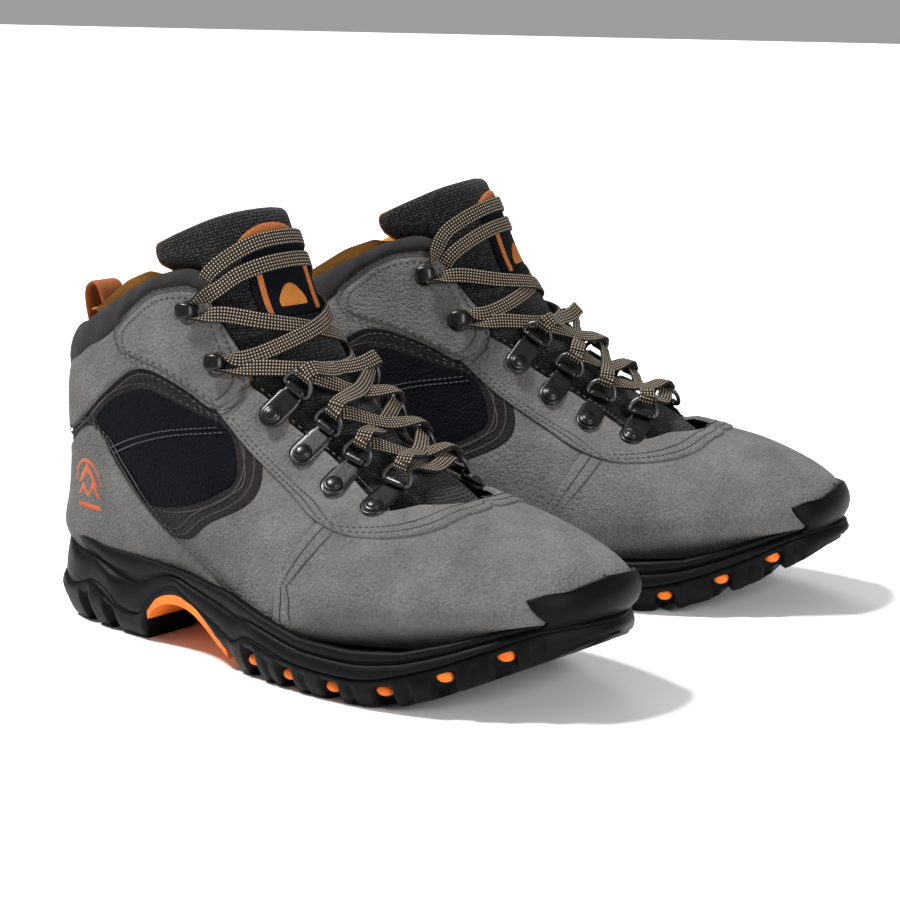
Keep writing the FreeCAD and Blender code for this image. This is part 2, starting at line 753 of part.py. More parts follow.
loop_face = side_face(
    [(23.5, 116), (22, 130), (18, 143)],
    [(18, 143), (18.2, 149.5), (23, 152.5), (28, 150.5)],
    [(28, 150.5), (33, 140), (35.5, 128)],
    [(35.5, 128), (33.9, 127.8)],
    [(33.9, 127.8), (31.4, 139.5), (26.7, 149.3)],
    [(26.7, 149.3), (23, 150.9), (19.9, 148.6), (19.7, 143)],
    [(19.7, 143), (23.6, 130), (24.5, 116)],
)
half_loop = size("loop_width") / 2
loop_face.translate(Vector(-half_loop, 0, 0))
loop = loop_face.extrude(Vector(2 * half_loop, 0, 0)).cut([outer, sock(-GAP)])
loop = pieces(loop, SMALL_SLIVER)

SHAPES = {
    "outsole": outsole,
    "arch_shank": shank,
    "lug_plugs": plugs,
    "midsole": midsole,
    "toe_bumper": bumper,
    "insole_board": board,
    "footbed": footbed,
    **panels,
    "padded_collar": collar,
    "lining": lining,
    "tongue": tongue,
    "pull_loop": loop,
    "ring_clips": clips,
    "clip_rivets": rivets,
    "speed_hooks": hooks,
    "lace": lace,
}
for (side_name, number), ring in rings.items():
    SHAPES[f"ring_{side_name}_{number}"] = ring

boot_objects = {name: add(f"boot_{name}", shape) for name, shape in SHAPES.items()}

# ---------------------------------------------------------------- the pair

splay = size("boot_splay")
right_turn = Rotation(Vector(0, 0, 1), -splay)
left_turn = Rotation(Vector(0, 0, 1), splay)


def pair_middle():
    box = FreeCAD.BoundBox()
    for shape in SHAPES.values():
        first = shape.copy()
        first.Placement = Placement(Vector(0, 0, 0), right_turn) * first.Placement
        box.add(first.optimalBoundingBox(True, False))
        second = shape.mirror(Vector(0, 0, 0), Vector(1, 0, 0))
        offset = Vector(size("heel_spacing"), -size("left_ahead"), 0)
        second.Placement = Placement(offset, left_turn) * second.Placement
        box.add(second.optimalBoundingBox(True, False))
    print("pair box", box)
    return Vector(box.Center.x, box.Center.y, 0)


middle = pair_middle()
right_place = Placement(middle * -1, right_turn)
left_place = Placement(Vector(size("heel_spacing"), -size("left_ahead"), 0) - middle, left_turn)

nodes = []
for name, source in boot_objects.items():
    right = doc.addObject("Part::Compound", f"right_{name}")
    right.Links = [source]
    right.Placement = right_place
    left = doc.addObject("Part::Mirroring", f"left_{name}")
    left.Source = source
    left.Normal = Vector(1, 0, 0)
    left.Placement = left_place
    for node in (right, left):
        node.Label = node.Name
        nodes.append(node)
doc.recompute()

for thing in doc.Objects:
    if "Invalid" in thing.State or "Error" in thing.State:
        raise RuntimeError(f"{thing.Name} failed: {thing.State}")
for node in nodes:
    if node.Shape.isNull() or not node.Shape.isValid():
        raise RuntimeError(f"{node.Name} has no valid shape")

os.makedirs("parts", exist_ok=True)
for node in nodes:
    node.Shape.exportStep(f"parts/{node.Label}.step")

for (side_name, number), seat in ring_seats.items():
    centre = seat.at(BARREL_REACH, AXIS_HEIGHT + seat.lift)
    right_axis = right_turn.multVec(seat.along)
    right_centre = right_place.multVec(centre)
    mirrored = Vector(-centre.x, centre.y, centre.z)
    left_along = Vector(seat.along.x, -seat.along.y, -seat.along.z)
    left_axis = left_turn.multVec(left_along)
    left_centre = left_place.multVec(mirrored)
    print("HINGE", f"right_ring_{side_name}_{number}", tuple(right_centre), tuple(right_axis))
    print("HINGE", f"left_ring_{side_name}_{number}", tuple(left_centre), tuple(left_axis))
print("PLACE", tuple(right_place.Base), tuple(left_place.Base))
print("wrote", len(nodes), "nodes")
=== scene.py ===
import json
import math

import bpy
import numpy as np
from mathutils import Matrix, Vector
from mathutils.geometry import delaunay_2d_cdt


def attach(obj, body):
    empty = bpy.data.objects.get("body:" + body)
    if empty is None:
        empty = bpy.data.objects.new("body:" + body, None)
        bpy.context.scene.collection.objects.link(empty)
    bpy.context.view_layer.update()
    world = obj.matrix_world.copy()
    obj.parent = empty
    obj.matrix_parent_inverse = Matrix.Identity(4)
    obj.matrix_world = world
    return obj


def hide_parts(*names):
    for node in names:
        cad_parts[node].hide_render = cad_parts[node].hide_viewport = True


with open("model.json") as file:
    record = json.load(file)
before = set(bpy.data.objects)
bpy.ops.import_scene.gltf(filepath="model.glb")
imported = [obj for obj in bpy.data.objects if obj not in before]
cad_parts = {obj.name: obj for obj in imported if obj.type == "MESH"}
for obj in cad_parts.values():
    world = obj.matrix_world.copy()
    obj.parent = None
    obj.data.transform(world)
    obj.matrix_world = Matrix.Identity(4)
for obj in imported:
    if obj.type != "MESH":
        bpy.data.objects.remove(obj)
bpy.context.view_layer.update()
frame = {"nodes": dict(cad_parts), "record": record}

# Places on a boot are (a, l, z) in millimetres: from the heel towards the toe, towards the outer
# side, and up. The right boot stands on the -X side, and the left boot is its mirror image.
MM = 0.001
SIDES = ("right", "left")
MIRROR = {"right": -1.0, "left": 1.0}
HEELS = {"right": (-61.15, 160.355), "left": (61.15, 147.855)}
SPLAY = math.radians(9.3)

# In front of SWING_START the boot bends towards its inner side.
SWING_START = 180
SWING_SPAN = 120
SWING = 4

# The upper in rows from the sole to the collar: the back's a and z, the front's a and z, and the
# half widths at the heel, the waist, the ball and the toe.
UPPER_ROWS = np.array((
    (20, 30, 258, 19, 26, 32, 51, 31),
    (14, 35, 284, 31, 29.5, 36.5, 55, 38),
    (9.5, 43, 302, 44, 31.5, 40, 57, 42),
    (13.5, 57, 295, 57.5, 32.5, 43.5, 52, 36),
    (16.5, 70, 268, 70.5, 33, 43, 44, 27),
    (18.5, 82, 230, 79, 33, 42, 40, 25),
    (20, 97, 191, 94.5, 33, 39.5, 38, 25),
    (22, 111, 172, 111, 32.5, 37.5, 37, 25),
    (24.5, 123, 155, 129, 30, 35, 34.5, 24),
    (25, 133, 142, 149, 25, 31, 32, 22),
    (24, 143, 134, 168, 22, 29, 30, 20),
    (24, 156, 123, 192, 21, 28, 29, 20),
))
LAST_ROW = len(UPPER_ROWS) - 1
FIRST_WIDTH = 4
# Where the half widths count: the share of the row's length, which width, and how much of it.
STATIONS = (
    (0.045, 0, 0.76), (0.13, 0, 1.0), (0.38, 1, 1.0), (0.68, 2, 1.0), (0.90, 3, 1.0), (0.975, 3, 0.63),
)

# Seams and edges of the leather, as (a, z) seen from the outer side.
COLLAR_TOP = (
    (14, 133), (24, 134), (37, 136.5), (52, 144), (66, 151), (84, 159.5), (98, 164), (106, 164.5),
    (114, 161), (119, 154),
)
COLLAR_SEAM = (
    (14, 107), (30, 115), (45, 123.5), (55, 129), (63, 134), (69, 141), (77.5, 148), (88, 154), (100, 157),
    (108, 157), (115, 152.5),
)
CUFF_EDGE = (
    (115.5, 152), (109, 155), (100, 155), (88, 152), (77, 144.5), (69, 138), (67.5, 133), (70.5, 128.5),
    (77, 126), (84.3, 124.5), (95.9, 122.2), (107.1, 118.2), (117.4, 114), (126.4, 110.2), (131.5, 110),
    (135.5, 113), (137.3, 118.5), (133.5, 124.5), (128.8, 130.7), (122, 141), (115.5, 152),
)
FRONT_EDGE = ((115, 152.5), (122, 143.5), (132, 132.5), (138, 125), (139.5, 119))
THROAT_EDGE = ((139.5, 119), (150, 113), (163, 102.5), (188, 88), (202, 80), (214, 74.5), (226, 77))
OVERLAY_LOW = (
    (8, 84), (30, 88), (45, 96), (60, 108), (76, 119), (88, 121), (102, 118), (115, 113.5), (128, 108.5),
    (139.5, 119),
)
EYESTAY_LOW = (
    (128, 108.5), (134, 103), (146, 93), (168, 80), (188, 70.5), (206, 66), (226, 66.5), (240, 70),
    (247, 76),
)
COUNTER_FRONT = (
    (8, 74), (20, 76), (34, 84), (42, 90), (51, 92.8), (59, 89.5), (66, 81.5), (75, 71.5), (84, 64),
    (97, 55), (114, 44.5), (131, 35), (146, 29),
)
VAMP_SEAM = ((192, 74), (185, 60.5), (178.5, 48), (174, 37), (170, 22))
PANEL_EDGE = (
    (54, 97), (65, 105.5), (79, 111.5), (90, 113), (103, 110.5), (117, 106.5), (133, 101.5), (140, 92.5),
    (143.5, 81), (137, 75), (118, 67), (98, 63.3), (84, 65), (71, 75.5), (61, 87), (54, 97),
)
TRIM_LOW = ((150, 96), (156, 86), (157, 76), (150, 69.5), (132, 61), (117, 52), (104, 50))

# ---------------------------------------------------------------- numbers and curves


def between(p0, p1, p2, p3, t):
    """The smooth curve from p1 to p2, given the points before and after them."""
    bend = (2 * p0 - 5 * p1 + 4 * p2 - p3) * t**2
    twist = (3 * p1 - p0 - 3 * p2 + p3) * t**3
    return 0.5 * (2 * p1 + (p2 - p0) * t + bend + twist)


def resample(line, count):
    """The same line with evenly spaced points."""
    step = np.linalg.norm(np.diff(line, axis=0), axis=1)
    run = np.concatenate([[0], np.cumsum(step)])
    at = np.linspace(0, run[-1], count)
    return np.stack([np.interp(at, run, line[:, k]) for k in range(line.shape[1])], axis=1)


def spline(points, count):
    """A smooth curve through points, evenly spaced along its length."""
    points = np.asarray(points, float)
    ends = np.vstack([2 * points[0] - points[1], points, 2 * points[-1] - points[-2]])
    t = np.linspace(0, 1, 24, endpoint=False)[:, None]
    fine = [between(*four, t) for four in zip(ends, ends[1:], ends[2:], ends[3:])]
    return resample(np.vstack(fine + [points[-1:]]), count)


def straight_at(line, a):
    """A line's second value where its first is a, with straight runs between its points."""
    return np.interp(a, *np.array(line, float).T)


def height_at(line, a):
    """A line's second value where its first is a, on the smooth curve through its points."""
    return np.interp(a, *spline(line, 400).T)


def ease(value):
    value = np.clip(value, 0, 1)
    return value * value * (3 - 2 * value)


def unit(vector):
    return vector / np.linalg.norm(vector)


def units(vectors):
    """The same vectors, which lie along the last axis, with length 1."""
    return vectors / np.linalg.norm(vectors, axis=-1, keepdims=True)


def toe_swing(a):
    """How far the boot has bent towards its inner side."""
    return SWING * np.maximum(0, (a - SWING_START) / SWING_SPAN)**2


def cardinal_widths():
    """For each width station, how a row's half width follows it round the row."""
    angles = np.array([math.acos(1 - 2 * station[0]) for station in STATIONS])
    knots = np.concatenate([[0], angles, [math.pi], 2 * math.pi - angles[::-1]])
    count = len(knots)
    gaps = np.diff(np.concatenate([knots, [2 * math.pi]]))
    matrix = np.zeros((count, count))
    for k in range(count):
        matrix[k, k - 1] += gaps[k - 1]
        matrix[k, k] += 2 * (gaps[k - 1] + gaps[k])
        matrix[k, (k + 1) % count] += gaps[k]
    fine = np.linspace(0, math.pi, 721)
    k = np.clip(np.searchsorted(knots, fine, side="right") - 1, 0, count - 1)
    t = fine - knots[k]
    gap = gaps[k]
    after = (k + 1) % count
    curves = []
    for j in range(len(angles)):
        values = np.zeros(count)
        values[1 + j] = 1
        values[count - 1 - j] = -1
        slope = (np.roll(values, -1) - values) / gaps
        bend = np.linalg.solve(matrix, 6 * (slope - np.roll(slope, 1)))
        curve = (bend[k] * (gap - t)**3 + bend[after] * t**3) / (6 * gap)
        curve += (values[k] / gap - bend[k] * gap / 6) * (gap - t)
        curve += (values[after] / gap - bend[after] * gap / 6) * t
        curves.append(curve)
    return fine, curves


CARDINAL_ANGLES, CARDINALS = cardinal_widths()

# ---------------------------------------------------------------- the upper's surface


def row_values(v):
    """A row of UPPER_ROWS at any height between its first and last."""
    v = np.clip(v, 0, LAST_ROW - 1e-6)
    k = np.floor(v).astype(int)
    rows = [UPPER_ROWS[np.clip(k + step, 0, LAST_ROW)] for step in (-1, 0, 1, 2)]
    return between(*rows, (v - k)[..., None])


def bare_skin(q, v):
    """The upper's surface: q is 0 at the front, +1 and -1 at the back by the outer and inner side."""
    q = (np.asarray(q, float) + 1) % 2 - 1
    row = row_values(np.asarray(v, float))
    angle = math.pi * (1 - np.abs(q))
    share = (1 - np.cos(angle)) / 2
    width = 0
    for (_, kind, part), curve in zip(STATIONS, CARDINALS):
        width = width + np.interp(angle, CARDINAL_ANGLES, curve) * part * row[..., FIRST_WIDTH + kind]
    a = row[..., 0] + share * (row[..., 2] - row[..., 0])
    z = row[..., 1] + share * (row[..., 3] - row[..., 1])
    return np.stack([a, np.sign(q) * width - toe_swing(a), z], axis=-1)


def skin_normal(q, v):
    q_step = 0.004
    v_step = 0.02
    along = bare_skin(q + q_step, v) - bare_skin(q - q_step, v)
    up = bare_skin(q, v + v_step) - bare_skin(q, v - v_step)
    normal = np.cross(along, up)
    return normal / np.maximum(np.linalg.norm(normal, axis=-1, keepdims=True), 1e-9)


def skin(q, v, lift=0.0):
    """The upper's surface, lifted outwards in millimetres."""
    q = np.asarray(q, float)
    v = np.asarray(v, float)
    return bare_skin(q, v) + skin_normal(q, v) * np.asarray(lift, float)[..., None]


def from_side(points):
    """Side-view places (a, z) on the outer side, as (q, v) on the upper."""
    a, z = np.asarray(points, float).T
    low = np.zeros(len(a))
    high = np.full(len(a), float(LAST_ROW))
    for _ in range(40):
        middle = (low + high) / 2
        row = row_values(middle)
        share = np.clip((a - row[:, 0]) / (row[:, 2] - row[:, 0]), 0, 1)
        height = row[:, 1] + share * (row[:, 3] - row[:, 1])
        low = np.where(height < z, middle, low)
        high = np.where(height < z, high, middle)
    return np.stack([1 - np.arccos(1 - 2 * share) / math.pi, middle], axis=1)


# The upper laid flat: half its girth at each row, and the way up from the lowest row.
SPAN_V = np.linspace(0, LAST_ROW, 111)
SPAN_GRID = bare_skin(np.linspace(0, 1, 200)[None, :].repeat(111, 0), SPAN_V[:, None].repeat(200, 1))
SPAN = np.linalg.norm(np.diff(SPAN_GRID, axis=1), axis=2).sum(1)
RISE = np.concatenate([[0], np.cumsum(np.linalg.norm(np.diff(SPAN_GRID[:, 40:160], axis=0), axis=2).mean(1))])


def to_flat(qv):
    """(q, v) as near-true millimetres on the leather laid flat."""
    return np.stack([qv[:, 0] * np.interp(qv[:, 1], SPAN_V, SPAN), np.interp(qv[:, 1], SPAN_V, RISE)], axis=1)


def from_flat(flat):
    v = np.interp(flat[:, 1], RISE, SPAN_V)
    return np.stack([flat[:, 0] / np.interp(v, SPAN_V, SPAN), v], axis=1)


def skin_at(flat, lift):
    return skin(*from_flat(flat).T, lift)


def wave_noise(points, scale, seed):
    """Smooth, repeatable unevenness between -1 and 1."""
    rng = np.random.default_rng(seed)
    total = np.zeros(len(points))
    for _ in range(7):
        direction = rng.normal(size=3)
        direction /= np.linalg.norm(direction)
        total += np.sin(points @ direction / scale * rng.uniform(0.6, 1.6) + rng.uniform(0, 6.3))
    return total / 4


# ---------------------------------------------------------------- making pieces


def to_world(points, side):
    x = MIRROR[side] * points[:, 1]
    y = -points[:, 0]
    turn = SPLAY if side == "left" else -SPLAY
    px = HEELS[side][0] + x * math.cos(turn) - y * math.sin(turn)
    py = HEELS[side][1] + x * math.sin(turn) + y * math.cos(turn)
    return np.stack([px, py, points[:, 2]], axis=1) * MM


def flipped(faces):
    """The same faces, looking the other way."""
    return [tuple(reversed(face)) for face in faces]


def make(name, points, faces, material, replaced=(), weave=None):
    """One piece for each boot from shared points; weave holds a coordinate pair for each point."""
    made = []
    points = np.array(points)
    for side in SIDES:
        mesh = bpy.data.meshes.new(f"{side}_{name}")
        mesh.from_pydata(to_world(points, side).tolist(), [], faces if side == "right" else flipped(faces))
        if weave is not None:
            layer = mesh.uv_layers.new(name="weave")
            index = np.zeros(len(mesh.loops), dtype=np.int32)
            mesh.loops.foreach_get("vertex_index", index)
            layer.data.foreach_set("uv", np.asarray(weave, float)[index].astype(np.float32).ravel())
        mesh.validate()
        mesh.shade_smooth()
        mesh.materials.append(material)
        piece = bpy.data.objects.new(f"{side}_{name}", mesh)
        bpy.context.scene.collection.objects.link(piece)
        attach(piece, f"{side}_boot")
        if replaced:
            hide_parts(*[f"{side}_{node}" for node in replaced])
        made.append(piece)
    return made


def make_padded(fill, *description):
    for piece in make(*description):
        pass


def put(bag, points, faces):
    """Adds points and faces to a bag, which is a list of points and a list of faces."""
    base = len(bag[0])
    bag[0].extend(points)
    bag[1].extend(tuple(base + index for index in face) for face in faces)


def grid_faces(rows, columns, closed=False):
    faces = []
    for i in range(rows - 1):
        for j in range(columns if closed else columns - 1):
            k = (j + 1) % columns
            faces.append((i * columns + j, i * columns + k, (i + 1) * columns + k, (i + 1) * columns + j))
    return faces


def tube_faces(rows, around):
    """A tube with a flat face at each end."""
    last = (rows - 1) * around
    ends = [tuple(reversed(range(around))), tuple(range(last, last + around))]
    return grid_faces(rows, around, closed=True) + ends


def inside(points, outline):
    x, y = points[:, 0:1], points[:, 1:2]
    x0, y0 = outline.T
    x1, y1 = np.roll(x0, -1), np.roll(y0, -1)
    crosses = (y0 > y) != (y1 > y)
    at = x0 + (y - y0) * (x1 - x0) / np.where(y1 == y0, 1e-12, y1 - y0)
    return (crosses & (x < at)).sum(1) % 2 == 1


def edge_distance(points, outline):
    best = np.full(len(points), 1e9)
    for p, q in zip(outline, np.roll(outline, -1, axis=0)):
        run = q - p
        t = np.clip(((points - p) @ run) / max(run @ run, 1e-12), 0, 1)
        best = np.minimum(best, np.linalg.norm(points - (p + t[:, None] * run), axis=1))
    return best


def aside(line, run, distance):
    normal = np.stack([-run[:, 1], run[:, 0]], axis=1)
    normal /= np.maximum(np.linalg.norm(normal, axis=1, keepdims=True), 1e-9)
    return line + normal * distance


def inset(line, distance):
    """A line beside an open line."""
    return aside(line, np.gradient(line, axis=0), distance)


def shift_outline(outline, distance):
    """An outline inside a closed outline, or outside it where distance is negative."""
    run = np.roll(outline, -1, axis=0) - np.roll(outline, 1, axis=0)
    x, y = outline.T
    area = np.sum(x * np.roll(y, -1) - np.roll(x, -1) * y)
    return aside(outline, run, distance * (1 if area > 0 else -1))


def closed_line(*runs, spacing=1.5):
    parts = []
    for run in runs:
        length = np.linalg.norm(np.diff(run, axis=0), axis=1).sum()
        parts.append(resample(run, max(2, int(length / spacing) + 1)))
    line = np.vstack(parts)
    return line[np.linalg.norm(line - np.roll(line, 1, axis=0), axis=1) > spacing * 0.3]


EDGE_ROUND = 1.2
SKIRT_DEPTH = 1.2
EDGE_RINGS = ((0.35, 0.3), (0.8, 0.7), (1.5, 1.3))


def sheet_points(outline, spacing):
    """An outline, rings of points close inside it, and an even filling."""
    rings = [outline]
    for distance, least in EDGE_RINGS:
        ring = shift_outline(outline, distance)
        rings.append(ring[inside(ring, outline) & (edge_distance(ring, outline) > least)])
    low = outline.min(0)
    high = outline.max(0)
    xs, ys = np.meshgrid(np.arange(low[0], high[0], spacing), np.arange(low[1], high[1], spacing * 0.87))
    xs[1::2] += spacing / 2
    fill = np.stack([xs.ravel(), ys.ravel()], axis=1)
    fill = fill[inside(fill, outline)]
    return np.vstack(rings + [fill[edge_distance(fill, outline) > EDGE_RINGS[-1][0] + spacing * 0.5]])


def leather_sheet(outline, low, thick, spacing=2.6, crown=0.0, noise=0.22, seed=3):
    """A sheet lying on the upper inside a flat outline, with rolled edges and a skirt behind them."""
    flat = [Vector(place) for place in sheet_points(outline, spacing)]
    flat, _, faces, _, _, _ = delaunay_2d_cdt(flat, [], [list(range(len(outline)))], 1, 1e-5)
    flat = np.array([(place.x, place.y) for place in flat])
    distance = edge_distance(flat, outline)
    height = low + thick * np.sqrt(np.clip(1 - (1 - np.minimum(distance / EDGE_ROUND, 1))**2, 0, 1))
    height = height + crown * (1 - np.exp(-distance / 9.0))
    uneven = noise * wave_noise(bare_skin(*from_flat(flat).T), 9.0, seed)
    height = height + uneven * np.minimum(distance / 4, 1)
    points = skin_at(flat, height)
    edges = {(p, q) for face in faces for p, q in zip(face, face[1:] + face[:1])}
    under = {}
    for p, q in [pair for face in faces for pair in zip(face, face[1:] + face[:1])]:
        if (q, p) in edges:
            continue
        for one in (p, q):
            under.setdefault(one, len(points) + len(under))
        faces.append([q, p, under[p], under[q]])
    rim = flat[list(under)]
    points = np.vstack([points, skin_at(rim, low - SKIRT_DEPTH)])
    return points, [tuple(face) for face in faces], np.vstack([flat, rim])


STITCH_LENGTH = 1.9
STITCH_PITCH = 2.5
STITCH_RADIUS = 0.33
STITCH_SIDES = 6
STITCH_DIP = 0.25
# Along a stitch: the place as a share of its length, its thickness, and how deep it dips.
STITCH_RINGS = ((-0.5, 0.45, STITCH_DIP), (-0.3, 1.0, 0), (0.3, 1.0, 0), (0.5, 0.45, STITCH_DIP))


def stitch_row(flat_line, lift, bag):
    """Thread stitches lying end to end along a line on the upper."""
    count = max(2, int(np.linalg.norm(np.diff(flat_line, axis=0), axis=1).sum() / STITCH_PITCH))
    q, v = from_flat(resample(flat_line, 2 * count + 1)).T
    on = skin(q, v, np.full(len(q), lift))
    normals = skin_normal(q, v)
    for k in range(1, 2 * count, 2):
        run = on[k + 1] - on[k - 1]
        run /= max(np.linalg.norm(run), 1e-9)
        across = np.cross(run, normals[k])
        points = []
        for along, size, dip in STITCH_RINGS:
            for turn in 2 * math.pi * np.arange(STITCH_SIDES) / STITCH_SIDES:
                up = STITCH_RADIUS * 0.8 * size * math.sin(turn) - dip
                out = STITCH_RADIUS * size * math.cos(turn)
                points.append(on[k] + run * STITCH_LENGTH * along + across * out + normals[k] * up)
        put(bag, points, tube_faces(len(STITCH_RINGS), STITCH_SIDES))


# ---------------------------------------------------------------- materials


class Nodes:
    """A material under construction, with short ways to add and join its nodes."""

    def __init__(self, name):
        self.material = bpy.data.materials.new(name)
        self.material.use_nodes = True
        self.tree = self.material.node_tree
        self.shader = self.tree.nodes["Principled BSDF"]
        self.place = self.tree.nodes.new("ShaderNodeTexCoord")

    def add(self, kind, inputs=(), **settings):
        node = self.tree.nodes.new(kind)
        for key, value in settings.items():
            setattr(node, key, value)
        for key, value in dict(inputs).items():
            if isinstance(value, bpy.types.NodeSocket):
                self.tree.links.new(value, node.inputs[key])
            else:
                node.inputs[key].default_value = value
        return node

    def noise(self, scale, detail=4.0, rough=0.6):
        place = self.place.outputs["Object"]
        inputs = {"Vector": place, "Scale": scale, "Detail": detail, "Roughness": rough}
        return self.add("ShaderNodeTexNoise", inputs).outputs["Fac"]

    def weave(self, across, along):
        """The piece's own weave coordinates in millimetres, scaled."""
        inputs = {"Vector": self.place.outputs["UV"], "Scale": (across, along, 1.0)}
        return self.add("ShaderNodeMapping", inputs).outputs["Vector"]

    def cells(self, vector, scale, randomness=1.0, **settings):
        inputs = {"Vector": vector, "Scale": scale, "Randomness": randomness}
        return self.add("ShaderNodeTexVoronoi", inputs, **settings).outputs["Distance"]

    def bands(self, vector, direction):
        inputs = {"Vector": vector, "Scale": 1.0, "Distortion": 0.4, "Detail": 1.0}
        return self.add("ShaderNodeTexWave", inputs, bands_direction=direction).outputs["Fac"]

    def math(self, operation, first, second):
        return self.add("ShaderNodeMath", {0: first, 1: second}, operation=operation).outputs[0]

    def mix(self, first, part, second, other_part):
        return self.math("ADD", self.math("MULTIPLY", first, part), self.math("MULTIPLY", second, other_part))

    def color(self, fac, *stops):
        node = self.add("ShaderNodeValToRGB", {"Fac": fac})
        while len(node.color_ramp.elements) < len(stops):
            node.color_ramp.elements.new(0.5)
        for element, (position, color) in zip(node.color_ramp.elements, stops):
            element.position = position
            element.color = (*color, 1)
        self.tree.links.new(node.outputs["Color"], self.shader.inputs["Base Color"])

    def rough(self, fac, low, high):
        node = self.add("ShaderNodeMapRange", {"Value": fac, "To Min": low, "To Max": high})
        self.tree.links.new(node.outputs["Result"], self.shader.inputs["Roughness"])

    def bump(self, height, strength, distance):
        node = self.add("ShaderNodeBump", {"Height": height, "Strength": strength, "Distance": distance})
        self.tree.links.new(node.outputs["Normal"], self.shader.inputs["Normal"])

    def set(self, **values):
        for key, value in values.items():
            self.shader.inputs[key.replace("_", " ")].default_value = value
        return self.material


def nubuck(name, dark, mid, light, sheen):
    """Brushed leather: cloudy colour, fine grain, pores and soft wrinkles."""
    n = Nodes(name)
    grain = n.noise(900, 3, 0.7)
    pores = n.cells(n.place.outputs["Object"], 750.0)
    clouds = n.mix(n.noise(38, 6, 0.65), 0.5, grain, 0.38)
    shade = n.math("ADD", clouds, n.math("MULTIPLY", n.math("SUBTRACT", 0.55, pores), 0.14))
    n.color(shade, (0.28, dark), (0.5, mid), (0.72, light))
    n.rough(grain, 0.74, 0.93)
    height = n.math("SUBTRACT", n.math("MULTIPLY", grain, 0.35), n.math("MULTIPLY", pores, 0.55))
    n.bump(n.math("ADD", height, n.math("MULTIPLY", n.noise(110, 5, 0.55), 0.8)), 0.75, 0.0012)
    return n.set(Sheen_Weight=sheen, Sheen_Roughness=0.5, Specular_IOR_Level=0.15, IOR=1.35)


def moulded(name, dark, light, rough, bump, shine):
    """Rubber, foam, plastic, print or thread: a slightly cloudy colour under a fine bump."""
    n = Nodes(name)
    cloud = n.noise(60, 4, 0.6)
    n.color(cloud, (0.3, dark), (0.7, light))
    n.rough(cloud, *rough)
    n.bump(n.noise(1400, 2, 0.6), bump, 0.0003)
    return n.set(Specular_IOR_Level=shine, IOR=1.3)


def ribbed_cloth(name, dark, light, threads, sheen):
    """Cloth whose threads cross on the piece's weave coordinates."""
    n = Nodes(name)
    sheet = n.weave(*threads)
    cloth = n.math("MULTIPLY", n.bands(sheet, "X"), n.bands(sheet, "Y"))
    fuzz = n.noise(500, 3, 0.7)
    n.color(n.mix(cloth, 0.7, fuzz, 0.3), (0.1, dark), (0.7, light))
    n.rough(fuzz, 0.8, 0.95)
    n.bump(n.math("ADD", cloth, n.math("MULTIPLY", fuzz, 0.3)), 0.6, 0.0006)
    return n.set(Sheen_Weight=sheen, Specular_IOR_Level=0.2)


def chunky_mesh(name, dark, light, size):
    """A coarse knit: small pale knots standing out of a dark ground."""
    n = Nodes(name)
    knots = n.cells(n.weave(size, size * 1.5), 1.0, 0.35)
    fuzz = n.noise(700, 3, 0.7)
    n.color(knots, (0.12, light), (0.42, dark))
    n.rough(fuzz, 0.7, 0.95)
    n.bump(n.math("SUBTRACT", n.math("MULTIPLY", fuzz, 0.2), knots), 1.0, 0.0012)
    return n.set(Sheen_Weight=0.05, Specular_IOR_Level=0.15)


def metal(name, dark, light, metallic):
    """Smooth steel or enamel, faintly cloudy."""
    n = Nodes(name)
    cloud = n.noise(260, 4, 0.6)
    n.color(cloud, (0.3, dark), (0.75, light))
    n.rough(cloud, 0.24, 0.4)
    n.bump(n.noise(900, 2, 0.5), 0.12, 0.0003)
    return n.set(Metallic=metallic, Specular_IOR_Level=0.32)


def checker_lace(name):
    """A flat braid: dark brown threads with a pale dot in each cell of the weave."""
    n = Nodes(name)
    spots = n.cells(n.place.outputs["UV"], 1.0, 0.0, distance="CHEBYCHEV")
    fuzz = n.noise(900, 3, 0.7)
    bright = n.mix(n.math("LESS_THAN", spots, 0.2), 0.75, fuzz, 0.2)
    n.color(bright, (0.0, (0.008, 0.006, 0.005)), (0.35, (0.022, 0.016, 0.013)), (0.9, (0.42, 0.33, 0.23)))
    n.rough(fuzz, 0.75, 0.95)
    n.bump(n.math("SUBTRACT", n.math("MULTIPLY", fuzz, 0.3), spots), 0.8, 0.0005)
    return n.set(Sheen_Weight=0.02, Specular_IOR_Level=0.15)


GREY = nubuck("grey_nubuck", (0.058, 0.0568, 0.0546), (0.106, 0.1035, 0.1), (0.17, 0.1665, 0.161), 0.04)
NAVY = nubuck("navy_nubuck", (0.0003, 0.0004, 0.0012), (0.001, 0.0013, 0.0034), (0.0025, 0.003, 0.007), 0.0)
TRIM = nubuck("brown_trim", (0.006, 0.005, 0.0054), (0.013, 0.0105, 0.0115), (0.027, 0.022, 0.024), 0.03)
THREAD = moulded("grey_thread", (0.035, 0.034, 0.033), (0.065, 0.063, 0.06), (0.8, 0.95), 0.3, 0.15)
PALE_THREAD = moulded("pale_thread", (0.03, 0.032, 0.04), (0.06, 0.062, 0.07), (0.8, 0.95), 0.3, 0.15)
RUBBER = moulded("black_rubber", (0.001, 0.001, 0.0011), (0.003, 0.003, 0.0033), (0.38, 0.58), 0.3, 0.16)
FOAM = moulded("midsole_foam", (0.001, 0.0011, 0.0013), (0.0034, 0.0035, 0.004), (0.4, 0.6), 0.35, 0.2)
ORANGE = moulded("orange_plastic", (0.6, 0.11, 0.012), (0.8, 0.19, 0.025), (0.4, 0.6), 0.2, 0.3)
RUST = moulded("rust_print", (0.3, 0.06, 0.025), (0.5, 0.12, 0.05), (0.6, 0.8), 0.5, 0.2)
LABEL_GOLD = moulded("gold_label", (0.25, 0.08, 0.012), (0.4, 0.15, 0.03), (0.6, 0.8), 0.5, 0.2)
